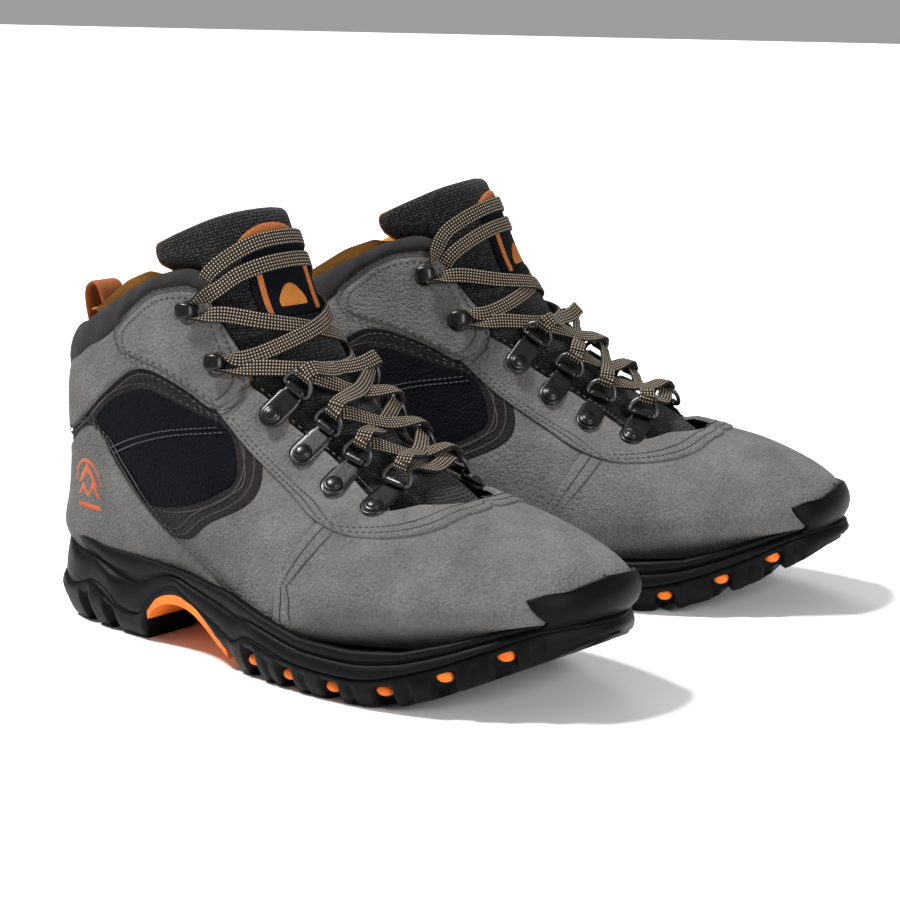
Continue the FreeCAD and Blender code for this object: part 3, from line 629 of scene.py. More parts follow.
COLLAR_CLOTH = ribbed_cloth("collar_cloth", (0.006, 0.0054, 0.0054), (0.03, 0.026, 0.0255), (0.25, 0.9), 0.04)
GOLD = ribbed_cloth("gold_lining", (0.3, 0.11, 0.012), (0.72, 0.34, 0.05), (0.7, 0.7), 0.1)
WEBBING = ribbed_cloth("orange_webbing", (0.2, 0.045, 0.01), (0.6, 0.19, 0.035), (1.3, 0.6), 0.05)
MESH = chunky_mesh("tongue_mesh", (0.0015, 0.0015, 0.0015), (0.04, 0.039, 0.038), 0.62)
STEEL = metal("dark_steel", (0.035, 0.035, 0.036), (0.09, 0.09, 0.09), 0.9)
ENAMEL = metal("black_enamel", (0.0015, 0.0015, 0.0017), (0.005, 0.005, 0.0055), 0.0)
LACE = checker_lace("lace_braid")

# ---------------------------------------------------------------- leather panels


LOW_ROW = 0.12
SEAM_OVERLAP = np.array([-4.0, 0.0])


def side_line(points, count=60):
    """A smooth line through side-view places, on the leather laid flat."""
    return to_flat(from_side(spline(points, count)))


def row_line(start, end, count):
    """A line between two (q, v) places, on the leather laid flat."""
    return to_flat(np.linspace(start, end, count))


def place_round(flat_place):
    """How far round the upper (q) a flat place is."""
    return from_flat(flat_place[None])[0, 0]


def back_centre(flat_place):
    """The back's centre at the height of a flat place."""
    return to_flat(np.array([[1.0, from_flat(flat_place[None])[0, 1]]]))


def mirrored(line):
    return line * np.array([-1.0, 1.0])


def beside(line):
    """The same line on the inner side, counted on round the back of the heel."""
    q, v = from_flat(line).T
    return to_flat(np.stack([2 - q, v], axis=1))


def front_wrapped(half):
    """A closed outline from its outer half, which starts and ends on the front centre line."""
    return closed_line(half, mirrored(half)[::-1])


def back_wrapped(half):
    """A closed outline from its outer half, which starts and ends on the back's centre line."""
    return closed_line(half, beside(half)[::-1])


def both_sides(name, sheet, material, replaced=()):
    """A piece with a sheet on the outer side and its mirror image on the inner side."""
    points, faces, weave = sheet
    swing = toe_swing(points[:, 0])
    other = points.copy()
    other[:, 1] = -(points[:, 1] + swing) - swing
    bag = (list(points), list(faces))
    put(bag, other, flipped(faces))
    make(name, bag[0], bag[1], material, replaced, np.vstack([weave, weave]))


def build_vamp():
    seam = side_line(VAMP_SEAM)
    bottom = row_line((0.0, LOW_ROW + 0.3), (place_round(seam[-1]), LOW_ROW), 80)
    tucked = side_line([(a, z + 5) for a, z in EYESTAY_LOW[4:]] + [(252, 80)])
    half = np.vstack([bottom, seam[::-1], tucked])
    half[-1, 0] = 0
    points, faces, weave = leather_sheet(front_wrapped(half), 0.2, 0.9, seed=5)
    make("vamp_leather", points, faces, GREY, ("vamp",), weave)


def build_quarter():
    edge = side_line(VAMP_SEAM)
    tucked_back = side_line([(a - 6, z + 2) for a, z in COUNTER_FRONT[8:]][::-1])
    top = side_line([(104, 58), (118, 62), (133, 70), (146, 80), (150, 100), (170, 86), (190, 77)])
    bottom = row_line((place_round(edge[-1]), LOW_ROW), (place_round(tucked_back[0]), LOW_ROW), 30)
    edge = edge + SEAM_OVERLAP
    outline = closed_line(edge[::-1], edge[-1:], bottom, tucked_back, top)
    both_sides("quarter_leather", leather_sheet(outline, 0.0, 0.7, seed=6), GREY, ("quarter",))


def build_counter():
    front = side_line(COUNTER_FRONT, 90)
    bottom = row_line((place_round(front[-1]), LOW_ROW), (1.0, LOW_ROW), 50)
    half = np.vstack([back_centre(front[0]), front, bottom])
    points, faces, weave = leather_sheet(back_wrapped(half), 1.0, 1.0, seed=7)
    make("heel_counter_leather", points, faces, GREY, ("heel_counter",), weave)


def build_overlay():
    low = side_line(OVERLAY_LOW, 110)
    front = side_line(FRONT_EDGE, 40)
    seam = side_line([(a, z + 2.0) for a, z in COLLAR_SEAM], 90)
    half = np.vstack([back_centre(low[0]), low, front[::-1], seam[::-1], back_centre(seam[0])])
    points, faces, weave = leather_sheet(back_wrapped(half), 1.3, 1.1, seed=8)
    make("ankle_overlay_leather", points, faces, GREY, ("ankle_overlay",), weave)


def build_eyestay():
    low = side_line(EYESTAY_LOW, 120)
    throat = side_line(THROAT_EDGE, 110)
    low[-1, 0] = 0
    throat[-1, 0] = 0
    top = side_line([THROAT_EDGE[0], EYESTAY_LOW[0]], 12)
    outer = (throat[::-1], np.vstack([top, low]))
    outline = closed_line(*outer, mirrored(low)[::-1], mirrored(top)[::-1], mirrored(throat))
    points, faces, weave = leather_sheet(outline, 1.3, 1.0, seed=9)
    make("eyestay_leather", points, faces, GREY, ("eyestay",), weave)


def build_side_panel():
    edge = closed_line(side_line(PANEL_EDGE, 160))
    panel = leather_sheet(edge, 0.9, 0.5, crown=0.8, seed=10)
    both_sides("side_panel_leather", panel, NAVY, ("side_panels",))
    band = side_line([(36, 84), (40, 100), (60, 118), (88, 124), (128, 112), (150, 96)])
    back = side_line([(104, 50), (90, 52), (70, 66), (50, 80), (36, 84)])
    outline = closed_line(band, side_line(TRIM_LOW), back)
    both_sides("side_trim_cloth", leather_sheet(outline, 0.1, 0.9, seed=11), TRIM, ("side_panel_trim",))


def build_heel_trim():
    """The strip of trim cloth round the back of the heel, between the counter and the ankle leather."""
    low = side_line([(10, 67), (20, 69), (34, 77), (44, 84)])
    top = side_line([(44, 106), (30, 98), (10, 93)])
    half = np.vstack([back_centre(low[0]), low, top, back_centre(top[-1])])
    points, faces, weave = leather_sheet(back_wrapped(half), 0.0, 0.9, seed=17)
    make("heel_trim_cloth", points, faces, TRIM, (), weave)


def build_cuff():
    outline = closed_line(side_line(CUFF_EDGE, 240))
    both_sides("cuff_leather", leather_sheet(outline, 2.2, 0.9, crown=0.3, noise=0.3, seed=13), GREY)


build_vamp()
build_quarter()
build_counter()
build_overlay()
build_eyestay()
build_side_panel()
build_heel_trim()
build_cuff()

# ---------------------------------------------------------------- seams and stitching


def stitch_both(name, lines, material, lift):
    """Rows of stitches on the outer side and the same rows on the inner side."""
    bag = ([], [])
    for line in lines:
        stitch_row(line, lift, bag)
        stitch_row(mirrored(line), lift, bag)
    make(name, bag[0], bag[1], material)


def build_stitches():
    vamp = side_line(VAMP_SEAM)[2:-6]
    stitch_both("vamp_seam_stitches", [inset(vamp, -2.2), inset(vamp, -4.6)], THREAD, 1.15)
    eyestay = side_line(EYESTAY_LOW, 120)
    stitch_both("eyestay_stitches", [inset(eyestay, -2.2)[3:], inset(eyestay, -4.6)[3:]], THREAD, 2.35)
    counter = side_line(COUNTER_FRONT, 90)
    stitch_both("counter_stitches", [inset(counter, -2.2)[16:-4], inset(counter, -4.4)[16:-4]], THREAD, 2.05)
    stitch_both("overlay_stitches", [inset(side_line(OVERLAY_LOW, 110)[16:-3], 2.4)], THREAD, 2.45)
    cuff = closed_line(side_line(CUFF_EDGE, 240))
    stitch_both("cuff_stitches", [shift_outline(cuff, 2.4), shift_outline(cuff, -1.6)], THREAD, 3.3)
    stitch_both("collar_seam_stitches", [inset(side_line(COLLAR_SEAM, 90), -4.0)[10:-30]], THREAD, 2.45)
    stitch_both("throat_stitches", [inset(side_line(THROAT_EDGE, 110), -2.4)[6:-6]], THREAD, 2.35)
    trim = side_line(TRIM_LOW)
    stitch_both("trim_stitches", [inset(trim, 2.4)[2:-2], inset(trim, 4.8)[2:-2]], THREAD, 1.0)
    panel = closed_line(side_line(PANEL_EDGE, 160))
    stitch_both("panel_edge_stitches", [shift_outline(panel, -2.0)], THREAD, 1.05)
    across = side_line(((64, 84), (82, 91), (104, 97), (130, 101)))
    stitch_both("panel_cross_stitches", [across, inset(across, 2.2)], PALE_THREAD, 2.1)


build_stitches()

# ---------------------------------------------------------------- emblem on the heel

EMBLEM_PLACE = np.array([45.5, 64.5])
EMBLEM_RADIUS = 12.5
EMBLEM_SQUEEZE = np.array([0.86, 1.0])


def chevron(middle, half_width, rise, thick):
    """A pointed arch like a roof, with its feet level with the middle."""
    x, y = middle
    return np.array([
        (x - half_width, y), (x - half_width + thick, y), (x, y + rise - thick),
        (x + half_width - thick, y), (x + half_width, y), (x, y + rise + thick * 0.4),
        (x - half_width, y),
    ])


def build_emblem():
    arc = [(EMBLEM_RADIUS * math.cos(t), EMBLEM_RADIUS * math.sin(t)) for t in np.linspace(0.06, 3.08, 40)]
    inner = [(0.84 * x, 0.84 * y) for x, y in arc[::-1]]
    bar = np.array([(-10.5, -8.2), (10.5, -8.2), (9.4, -10.6), (-9.4, -10.6), (-10.5, -8.2)])
    feet = [chevron((4.2, -5.2), 6.6, 7.2, 2.9), chevron((-5.0, -5.2), 5.6, 5.8, 2.7)]
    arches = [chevron((0, 0.5), 9.6, 9.0, 3.4)] + feet
    bag = ([], [])
    for shape in [np.array(arc + inner + arc[:1])] + arches + [bar]:
        outline = closed_line(to_flat(from_side(shape * EMBLEM_SQUEEZE + EMBLEM_PLACE)), spacing=0.6)
        points, faces, _ = leather_sheet(outline, 1.9, 0.35, spacing=1.6, noise=0.0)
        put(bag, points, faces)
    make("heel_emblem", bag[0], bag[1], RUST)


build_emblem()

# ---------------------------------------------------------------- toe bumper

BUMPER_LOW = ((262, 22), (272, 27.5), (283, 34.5), (292.2, 41.8))
BUMPER_BEAK = ((292.2, 41.8), (289, 46), (286.3, 49.4), (291, 51.2), (296, 51.8), (299, 54), (300.5, 57.5))


def build_bumper():
    beak = resample(np.array(BUMPER_BEAK), 40)[1:]
    edge = to_flat(from_side(np.vstack([spline(BUMPER_LOW, 30), beak])))
    edge[-1, 0] = 0
    bottom = row_line((0.0, LOW_ROW + 0.3), (place_round(edge[0]), LOW_ROW + 0.1), 40)
    half = np.vstack([bottom, edge])
    points, faces, weave = leather_sheet(front_wrapped(half), 1.6, 1.6, spacing=2.2, noise=0.08, seed=12)
    make("toe_bumper_rubber", points, faces, RUBBER, ("toe_bumper",), weave)


build_bumper()

# ---------------------------------------------------------------- sole

SOLE_STATIONS = (
    (13, 20), (38, 32), (87, 39), (109, 42.5), (142, 49.5), (167, 55.5), (197, 59), (224, 58.5), (245, 54),
    (262, 47.5), (280, 39), (296, 27),
)
TOP_EDGE = (
    (-4, 65), (18, 65.5), (24, 53), (38, 43), (55, 39), (87, 37.5), (109, 36.5), (142, 34), (167, 29),
    (192, 24.5), (219, 24), (242, 26), (261, 31), (280, 37), (296, 41), (316, 42),
)
PARTING = (
    (-4, 21), (14, 19.4), (29, 17), (44, 21.5), (55, 18.6), (66, 13), (79, 12.5), (92, 24), (104, 29.5),
    (117, 25), (136, 19), (149, 15), (158, 18.5), (168, 17.5), (186, 14.2), (209, 12.5), (229, 13.5),
    (252, 20), (275, 29), (294, 36.5), (316, 39),
)
TREAD_LINE = (
    (-4, 0), (70, 0), (80, 0.3), (85, 11), (94, 18.5), (106, 21.5), (120, 19.5), (133, 12), (142, 5),
    (150, 0.3), (160, 0), (210, 0), (222, 0.2), (240, 2.6), (254, 7.5), (270, 14.5), (292, 25),
    (300, 30), (316, 37),
)
# The sole at four heights: the heights, then how much narrower it is at its sides, heel and toe.
SOLE_LEVELS = ((-1, 14, 34, 70), (6, 0, 1, 1), (1, 1, 6, 13), (3, 0, 3, 8))
PLUG_PLACES = ((161, 8.5), (183, 7), (208, 6.5), (234, 9), (259, 17.5), (281, 27))
PLUG_RINGS = 7
PLUG_SIDES = 16
HEEL_CUTS = (17, 40, 58)
ARCH_RISE = 3.6
# Down the outsole's side: the share of its height, how far it stands out, and how deep the cuts go.
TREAD_PROFILE = (
    (0.0, -4, 0), (0.0, -0.4, 0), (0.04, 0.9, 0), (0.14, 1.5, 0), (0.24, 1.6, 0.15), (0.34, 1.8, 0.75),
    (0.46, 2.0, 1.0), (0.62, 2.0, 1.0), (0.8, 1.5, 1.0), (0.94, 0.8, 1.0), (1.0, -0.3, 1.0),
)
# Under the sole, from its rim to its middle line, as shares of the half width.
TREAD_LANES = (0.95, 0.9, 0.8, 0.7, 0.6, 0.5, 0.4, 0.3, 0.22, 0.14, 0.1, 0.06, 0.03, 0.0)
SOLE_STEPS = 380


def sole_half():
    """The outer half of the sole's outline as (a, l), from the heel to the toe."""
    fine = spline(((13, -20), (6, 0)) + SOLE_STATIONS + ((308, 0), (296, -27)), 1400)
    return resample(np.vstack([[6, 0], fine[fine[:, 1] > 0], [308, 0]]), SOLE_STEPS)


SOLE_HALF = sole_half()
SOLE_RUN = np.gradient(SOLE_HALF, axis=0)
SOLE_OUT = units(np.stack([-SOLE_RUN[:, 1], SOLE_RUN[:, 0]], axis=1))
SOLE_OUT[0] = (-1, 0)
SOLE_OUT[-1] = (1, 0)


def sole_points(z, out):
    """The sole's outline at height z for each step round it, moved outwards by out."""
    a = SOLE_HALF[:, 0]
    levels, narrower, heel_in, toe_in = SOLE_LEVELS
    less = np.interp(z, levels, narrower)
    heel = np.interp(z, levels, heel_in)
    toe = np.interp(z, levels, toe_in)
    width = SOLE_HALF[:, 1] - less * np.minimum(1, SOLE_HALF[:, 1] / 20) + SOLE_OUT[:, 1] * out
    along = a + heel * np.maximum(0, 1 - a / 60) - toe * np.maximum(0, (a - 240) / 60) + SOLE_OUT[:, 0] * out
    return np.stack([along, np.maximum(width, 0), z * np.ones(len(a))], axis=1)


def both_halves(columns):
    """Joins the outer half's columns with their mirror image into one shell round the sole."""
    half = np.stack(columns, axis=1)
    inner = half[::-1].copy()
    inner[:, :, 1] *= -1
    ring = np.concatenate([half, inner[1:-1]])
    ring[:, :, 1] -= toe_swing(ring[:, :, 0])
    rows, across = ring.shape[:2]
    faces = []
    for i in range(rows):
        for j in range(across - 1):
            n = (i + 1) % rows
            faces.append((i * across + j, i * across + j + 1, n * across + j + 1, n * across + j))
    return ring.reshape(-1, 3), faces


def build_midsole():
    a = SOLE_HALF[:, 0]
    top = straight_at(TOP_EDGE, a)
    low = height_at(PARTING, a) - 0.6
    tall = top - low
    fore = np.clip((a - 150) / 30, 0, 1)
    heel = np.clip((90 - a) / 30, 0, 1)
    facet = np.abs(((a * 0.9) % 26) / 13 - 1)
    faceted = heel * facet
    profile = (
        (0.00, -4.0), (0.00, -0.6), (0.05, 0.5), (0.16, 1.0 + 0.6 * fore), (0.34, 0.9 + 0.8 * faceted),
        (0.46, 0.4 + 1.3 * faceted), (0.52, -0.2 + 0.4 * heel), (0.56, -1.1), (0.60, -1.2), (0.64, -0.2),
        (0.72, 0.5 + 0.8 * heel), (0.88, 0.6 + 0.5 * heel), (0.97, 0.1), (1.0, -0.9), (0.99, -2.4),
        (0.9, -5.5), (0.7, -7.5),
    )
    columns = [sole_points(low + tall * share, out * np.ones(len(a))) for share, out in profile]
    points, faces = both_halves(columns)
    make("midsole_foam", points, faces, FOAM, ("midsole",))


def cut_at(a, places, half_width):
    """1 where a cut crosses the sole, 0 elsewhere."""
    total = np.zeros(np.shape(a))
    for place in places:
        total = np.maximum(total, np.exp(-((a - place) / half_width)**8))
    return total


def build_outsole():
    a = SOLE_HALF[:, 0]
    top = height_at(PARTING, a) + 0.3
    base = straight_at(TREAD_LINE, a)
    arch = np.clip((a - 80) / 4, 0, 1) * np.clip((150 - a) / 6, 0, 1)
    base = base + ARCH_RISE * arch
    plugs = [place for place, _ in PLUG_PLACES]
    cuts = np.maximum(cut_at(a, plugs, 4.2), 0.95 * cut_at(a, HEEL_CUTS, 3.6))
    small = cut_at(a, [p + 11 for p in plugs], 1.6)
    tall = np.maximum(top - base, 1.5)
    solid = 1 - arch
    columns = []
    for share, out, cut_in in TREAD_PROFILE:
        slots = 4.6 * cuts * cut_in * solid + 1.0 * small * (share > 0.3) * solid
        lifted = 3.0 * cuts * solid * (share > 0.9)
        columns.append(sole_points(top - tall * share + lifted, out * (0.4 + 0.6 * solid) - slots))
    rim = columns[-1]
    lug_rows = np.maximum(cut_at(rim[:, 0], plugs, 2.6), cut_at(rim[:, 0], HEEL_CUTS, 3.4))
    for share in TREAD_LANES:
        across = rim[:, 1] * share
        groove = np.maximum(lug_rows * (share > 0.35), np.exp(-(across / 3.2)**4)) * solid
        z = straight_at(TREAD_LINE, rim[:, 0]) + ARCH_RISE * arch + 5.0 * groove
        columns.append(np.stack([rim[:, 0], across, z], axis=1))
    points, faces = both_halves(columns)
    make("tread_rubber", points, faces, RUBBER, ("outsole",))


def plug_points(a, z):
    """A rounded plug standing out of the outer side of the sole."""
    index = int(np.argmin(np.abs(SOLE_HALF[:, 0] - a)))
    spot = sole_points(np.full(SOLE_STEPS, float(z)), np.full(SOLE_STEPS, -3.6))[index]
    outward = np.append(SOLE_OUT[index], 0)
    along = unit(np.append(SOLE_RUN[index], 0))
    up = np.array([0, 0, 1])
    points = []
    for bend in np.linspace(0, math.pi / 2, PLUG_RINGS):
        for turn in 2 * math.pi * np.arange(PLUG_SIDES) / PLUG_SIDES:
            wide = 3.9 * math.cos(bend)**0.6 * (1 + 0.12 * math.sin(turn))
            round_it = along * wide * math.cos(turn) + up * wide * 0.72 * math.sin(turn)
            points.append(spot + outward * 4.4 * math.sin(bend) + round_it)
    return np.array(points)


def build_plugs():
    bag = ([], [])
    dome = grid_faces(PLUG_RINGS, PLUG_SIDES, closed=True)
    root = [tuple(range(PLUG_SIDES))]
    for place in PLUG_PLACES:
        a, across, z = plug_points(*place).T
        for sign, faces in ((1, dome), (-1, flipped(dome))):
            put(bag, np.stack([a, across * sign - toe_swing(a), z], axis=1), faces + root)
    make("sole_plugs", bag[0], bag[1], ORANGE, ("lug_plugs",))


build_midsole()
build_outsole()
build_plugs()

# ---------------------------------------------------------------- padded collar and tongue


# Across the padded collar: the share of the way up from the seam, and the height over the skin.
COLLAR_OUTSIDE = (
    (-0.12, 0.3), (-0.04, 1.4), (0.05, 2.6), (0.2, 3.6), (0.4, 4.1), (0.6, 4.0), (0.78, 3.3), (0.9, 2.3),
    (0.98, 1.0), (1.02, -0.6), (1.03, -2.2),
)
COLLAR_INSIDE = (
    (1.03, -2.2), (1.02, -3.8), (0.97, -5.4), (0.85, -7.0), (0.6, -8.6), (0.3, -9.4), (0.0, -9.6),
    (-0.5, -9.2), (-1.1, -8.2), (-1.8, -6.8),
)


def round_the_back(line):
    """A side-view line in (q, v), from the front round the back of the heel to the front again."""
    half = from_side(spline(line, 90))[::-1]
    half[-1, 0] = 1
    other = np.stack([2 - half[::-1, 0], half[::-1, 1]], axis=1)
    return np.vstack([half, other[1:]])


def build_collar_piece(name, section, material, replaced, back_rise):
    """One face of the collar; back_rise lifts its upper rows at the back of the heel."""
    seam = round_the_back(COLLAR_SEAM)
    top = round_the_back(COLLAR_TOP)
    count = len(seam)
    k = np.linspace(0, 1, count)
    end = np.clip(np.minimum(k, 1 - k) / 0.03, 0, 1)**0.5
    back = back_rise * ease((np.abs(k - 0.5) * -1 + 0.36) / 0.06)
    columns = []
    for share, lift in section:
        reach = share + back if lift > -8 and share > 0.8 else share + 0 * back
        q, v = (seam + (top - seam) * reach[:, None]).T
        soft = 0.25 * np.sin(k * 90) * (np.mean(reach) > 0) * (np.mean(reach) < 1)
        columns.append(skin(q, v, (lift + soft) * (0.35 + 0.65 * end)))
    points = np.stack(columns, axis=1).reshape(-1, 3)
    along = np.repeat(np.linspace(0, 230, count), len(section))
    weave = np.stack([along, np.tile(np.linspace(0, 14, len(section)), count)], axis=1)
    make_padded(0.7, name, points, grid_faces(count, len(section)), material, replaced, weave)


def build_collar():
    build_collar_piece("collar_cloth", COLLAR_OUTSIDE, COLLAR_CLOTH, ("padded_collar",), 0)
    build_collar_piece("collar_lining", COLLAR_INSIDE, GOLD, (), 0.26)


# The tongue's half width at heights on the flat upper, and where it dives under the collar.
TONGUE_WIDTHS = (
    (68, 72), (75, 68), (80, 64), (85, 60), (90, 55), (96, 51.5), (106, 46), (114, 45), (121, 47),
    (130, 48.5), (138, 50), (150, 48), (165, 53), (174, 58), (182, 61), (190, 62), (198, 61),
)
TONGUE_AROUND = 72
TONGUE_ROWS = 120
TONGUE_LOW = 75.0
TONGUE_TOP = 196.5
COLLAR_FRONT = 42.5
COLLAR_HEIGHTS = ((38, 168), (45, 179), (57, 181.5), (69, 180))
PIPING_RADIUS = 0.9
PIPING_SIDES = 8


def tongue_dive(flat):
    """How far the tongue sinks below the leather's surface at flat places."""
    across = np.abs(flat[:, 0])
    over = straight_at(COLLAR_HEIGHTS, across)
    wing = ease((across - COLLAR_FRONT) / 5) * (1 - ease((flat[:, 1] - over - 0.5) / 5)) * (flat[:, 1] > 140)
    end = 1 - ease((flat[:, 1] - TONGUE_LOW - 2) / 14)
    return 7.5 * wing + 4.0 * end


def build_piping(columns):
    """A thin gold cord sewn round the tongue's upper edge, from one side to the other."""
    around = len(columns[0])
    climb = [column[0] for column in columns[-14:-1]]
    crest = [columns[-2][j] * 0.5 + columns[-2][-j] * 0.5 for j in range(1, around // 2)]
    descent = [column[around // 2] for column in columns[-14:-1]][::-1]
    middle = spline([tuple(point) for point in climb + crest + descent], 160)
    run = units(np.gradient(middle, axis=0))
    ahead = units(np.cross(run, np.array([0.0, 0.0, 1.0]) + run[:, [1, 2, 0]] * 0.01))
    third = np.cross(run, ahead)
    rings = []
    for turn in 2 * math.pi * np.arange(PIPING_SIDES) / PIPING_SIDES:
        rings.append(middle + PIPING_RADIUS * (ahead * math.cos(turn) + third * math.sin(turn)))
    points = np.stack(rings, axis=1).reshape(-1, 3)
    make("tongue_piping", points, grid_faces(len(middle), PIPING_SIDES, closed=True), WEBBING)


def build_tongue():
    columns = []
    weaves = []
    turn = 2 * math.pi * np.arange(TONGUE_AROUND) / TONGUE_AROUND
    cos = np.sign(np.cos(turn)) * np.abs(np.cos(turn))**0.8
    sin = np.sign(np.sin(turn)) * np.abs(np.sin(turn))**0.6
    for t in np.arange(TONGUE_ROWS) / (TONGUE_ROWS - 1):
        close = math.sqrt(max(0, 1 - max(0, (t - 0.965) / 0.035)**2))
        height = TONGUE_LOW + (TONGUE_TOP - TONGUE_LOW) * t
        across = straight_at(TONGUE_WIDTHS, height) * cos * (0.94 + 0.06 * close)
        out = np.abs(across)
        droop = -5.0 * (across / 65)**2 * (1 - t)**3
        corner = -5.0 * np.maximum(0, out / 52 - 0.55)**1.5 * t**12
        flat = np.stack([across, height + droop + corner], axis=1)
        pad = 3.0 + 1.9 * ease((height - 120) / 50)
        channels = 1.0 * np.exp(-(((height + 0.05 * out) % 15 - 7.5) / 1.7)**2) * (height < 168)
        bulge = ease((height - 84) / 12) * ease((162 - height) / 12)
        puff = 1.7 * ease((30 - out) / 14) * (sin > 0) * sin * close * bulge
        lift = -4.2 + pad * sin * close + puff - channels * (sin > 0.3) - tongue_dive(flat)
        columns.append(skin_at(flat, lift))
        weaves.append(np.stack([across + 200 * (sin < 0), flat[:, 1]], axis=1))
    build_piping(columns)
    faces = flipped(tube_faces(TONGUE_ROWS, TONGUE_AROUND))
    make_padded(0.6, "tongue_pad", np.vstack(columns), faces, MESH, ("tongue",), np.vstack(weaves))


def patch(name, middle, half_width, low, high, lift, thick, material, arch=0.0):
    """A patch on the tongue: a rectangle on the flat upper, with its upper edge arched."""
    top = [(half_width * x, high - arch * x * x) for x in np.linspace(1, -1, 25)]
    corners = np.array([(-half_width, low), (half_width, low)] + top + [(-half_width, low)])
    outline = closed_line(corners + np.array([middle, 0]), spacing=1.0)
    points, faces, weave = leather_sheet(outline, lift, thick, spacing=2.0, noise=0.05, seed=20)
    make(name, points, faces, material, (), weave)


def lining_top():
    """The collar seam, as the row the lining reaches for each place round the upper."""
    seam = from_side(spline(COLLAR_SEAM + ((123, 141), (131, 133), (138.6, 125)), 90))
    order = np.argsort(seam[:, 0])
    return np.array([seam[order, 0], seam[order, 1] + 0.12])


FLOOR_LINE = ((2, 31), (60, 27), (120, 23), (200, 20), (250, 19.5), (275, 26), (306, 42))
BOARD_THICK = 2.8
BED_THICK = 5.0
BED_STEPS = 120
INSIDE = -3.6


# Where the lining starts beside the tongue, as a half width at each height on the flat upper.
LINING_WIDTHS = (
    (0, 0), (68, 0), (70, 30), (72.6, 71), (85, 57), (96, 48), (106, 41), (114, 41), (130, 46),
    (150, 44), (168, 44.5),
)
LINING_COLUMNS = 150
LINING_ROWS = 60


def build_lining():
    heights = np.linspace(14, 168, LINING_ROWS)
    start, v = from_flat(np.stack([straight_at(LINING_WIDTHS, heights), heights], axis=1)).T
    columns = []
    weaves = []
    for share in np.linspace(0.0005, 0.9995, LINING_COLUMNS):
        q = start + (2 - 2 * start) * share
        low = np.minimum(v, np.interp(np.minimum(q, 2 - q), *LINING_TOP))
        outer = skin(q, low, INSIDE + 0.8)
        inner = skin(q, low, INSIDE)
        columns.append(np.vstack([outer, inner[::-1]]))
        flat = to_flat(np.stack([q, low], axis=1))
        weaves.append(np.vstack([flat, flat[::-1]]))
    faces = flipped(grid_faces(LINING_COLUMNS, 2 * LINING_ROWS, closed=True))
    make("inner_lining", np.vstack(columns), faces, GOLD, ("lining",), np.vstack(weaves))


def build_footbed():
    """A cushion over the insole board, thicker at its edges than in the middle."""
    q = np.linspace(0.01, 0.99, BED_STEPS)
    row = np.full(BED_STEPS, 0.5)
    near = skin(q, row, INSIDE - 0.6)
    far = skin(2 - q, row, INSIDE - 0.6)
    floor = straight_at(FLOOR_LINE, near[:, 0]) + BOARD_THICK
    section = []
    for share in np.linspace(0, 1, 21):
        edge = min(1, 14 * min(share, 1 - share) + 0.55)
        section.append((share, BED_THICK * (0.45 + 0.4 * abs(2 * share - 1)**3) * edge))
    section += [(share, 0.4) for share, _ in section[::-1]]
    columns = []
    weaves = []
    for share, rise in section:
        line = near + (far - near) * share
        columns.append(np.stack([line[:, 0], line[:, 1], floor + rise], axis=1))
        weaves.append(line[:, :2])
    points = np.stack(columns, axis=1).reshape(-1, 3)
    weave = np.stack(weaves, axis=1).reshape(-1, 2)
    faces = tube_faces(BED_STEPS, len(section))
    make_padded(0.9, "cushion_footbed", points, faces, COLLAR_CLOTH, ("footbed",), weave)


LINING_TOP = lining_top()
build_lining()
build_footbed()
build_collar()
build_tongue()

# How far the tongue's patch stands towards the outer side.
LABEL_MIDDLE = 4.0
patch("tongue_patch_border", LABEL_MIDDLE, 19.0, 160, 190.5, 1.0, 0.7, WEBBING, 4.5)
patch("tongue_patch_field", LABEL_MIDDLE, 19.3, 159.5, 186.8, 1.3, 0.7, NAVY, 4.5)
patch("tongue_label", LABEL_MIDDLE, 7.5, 162.5, 170.5, 1.8, 0.5, LABEL_GOLD, 5.5)
patch("lace_keeper_outer", LABEL_MIDDLE + 13.5, 1.6, 160.5, 178, 1.8, 0.9, WEBBING)
patch("lace_keeper_inner", LABEL_MIDDLE - 13.5, 1.6, 160.5, 178, 1.8, 0.9, WEBBING)

# ---------------------------------------------------------------- eyelet clips, rivets and hooks

NEAR_Q, NEAR_V = np.meshgrid(np.linspace(-0.999, 0.999, 500), np.linspace(2, LAST_ROW, 260))
NEAR_GRID = bare_skin(NEAR_Q, NEAR_V).reshape(-1, 3)
RING_TILT = math.radians(35)
RING_REACH = 8.0
CLIP_BACK = 14.35
HOOKS = ((126, 34, 127), (108.5, 31.5, 147))


def near_skin(point):
    """The upper's nearest place to a point: its (q, v), the place itself and its normal."""
    index = int(np.argmin(((NEAR_GRID - point)**2).sum(1)))
    q = NEAR_Q.ravel()[index]
    v = NEAR_V.ravel()[index]
    return np.array([q, v]), NEAR_GRID[index], skin_normal(q, v)


def boot_direction(world):
    """A direction in the shared frame, as (a, l, z) on the right boot."""
    x, y, z = world
    px = x * math.cos(SPLAY) - y * math.sin(SPLAY)
    py = x * math.sin(SPLAY) + y * math.cos(SPLAY)
    return np.array([-py, -px, z])


def boot_place(world):
    return boot_direction(np.array(world) / MM - np.array([*HEELS["right"], 0]))

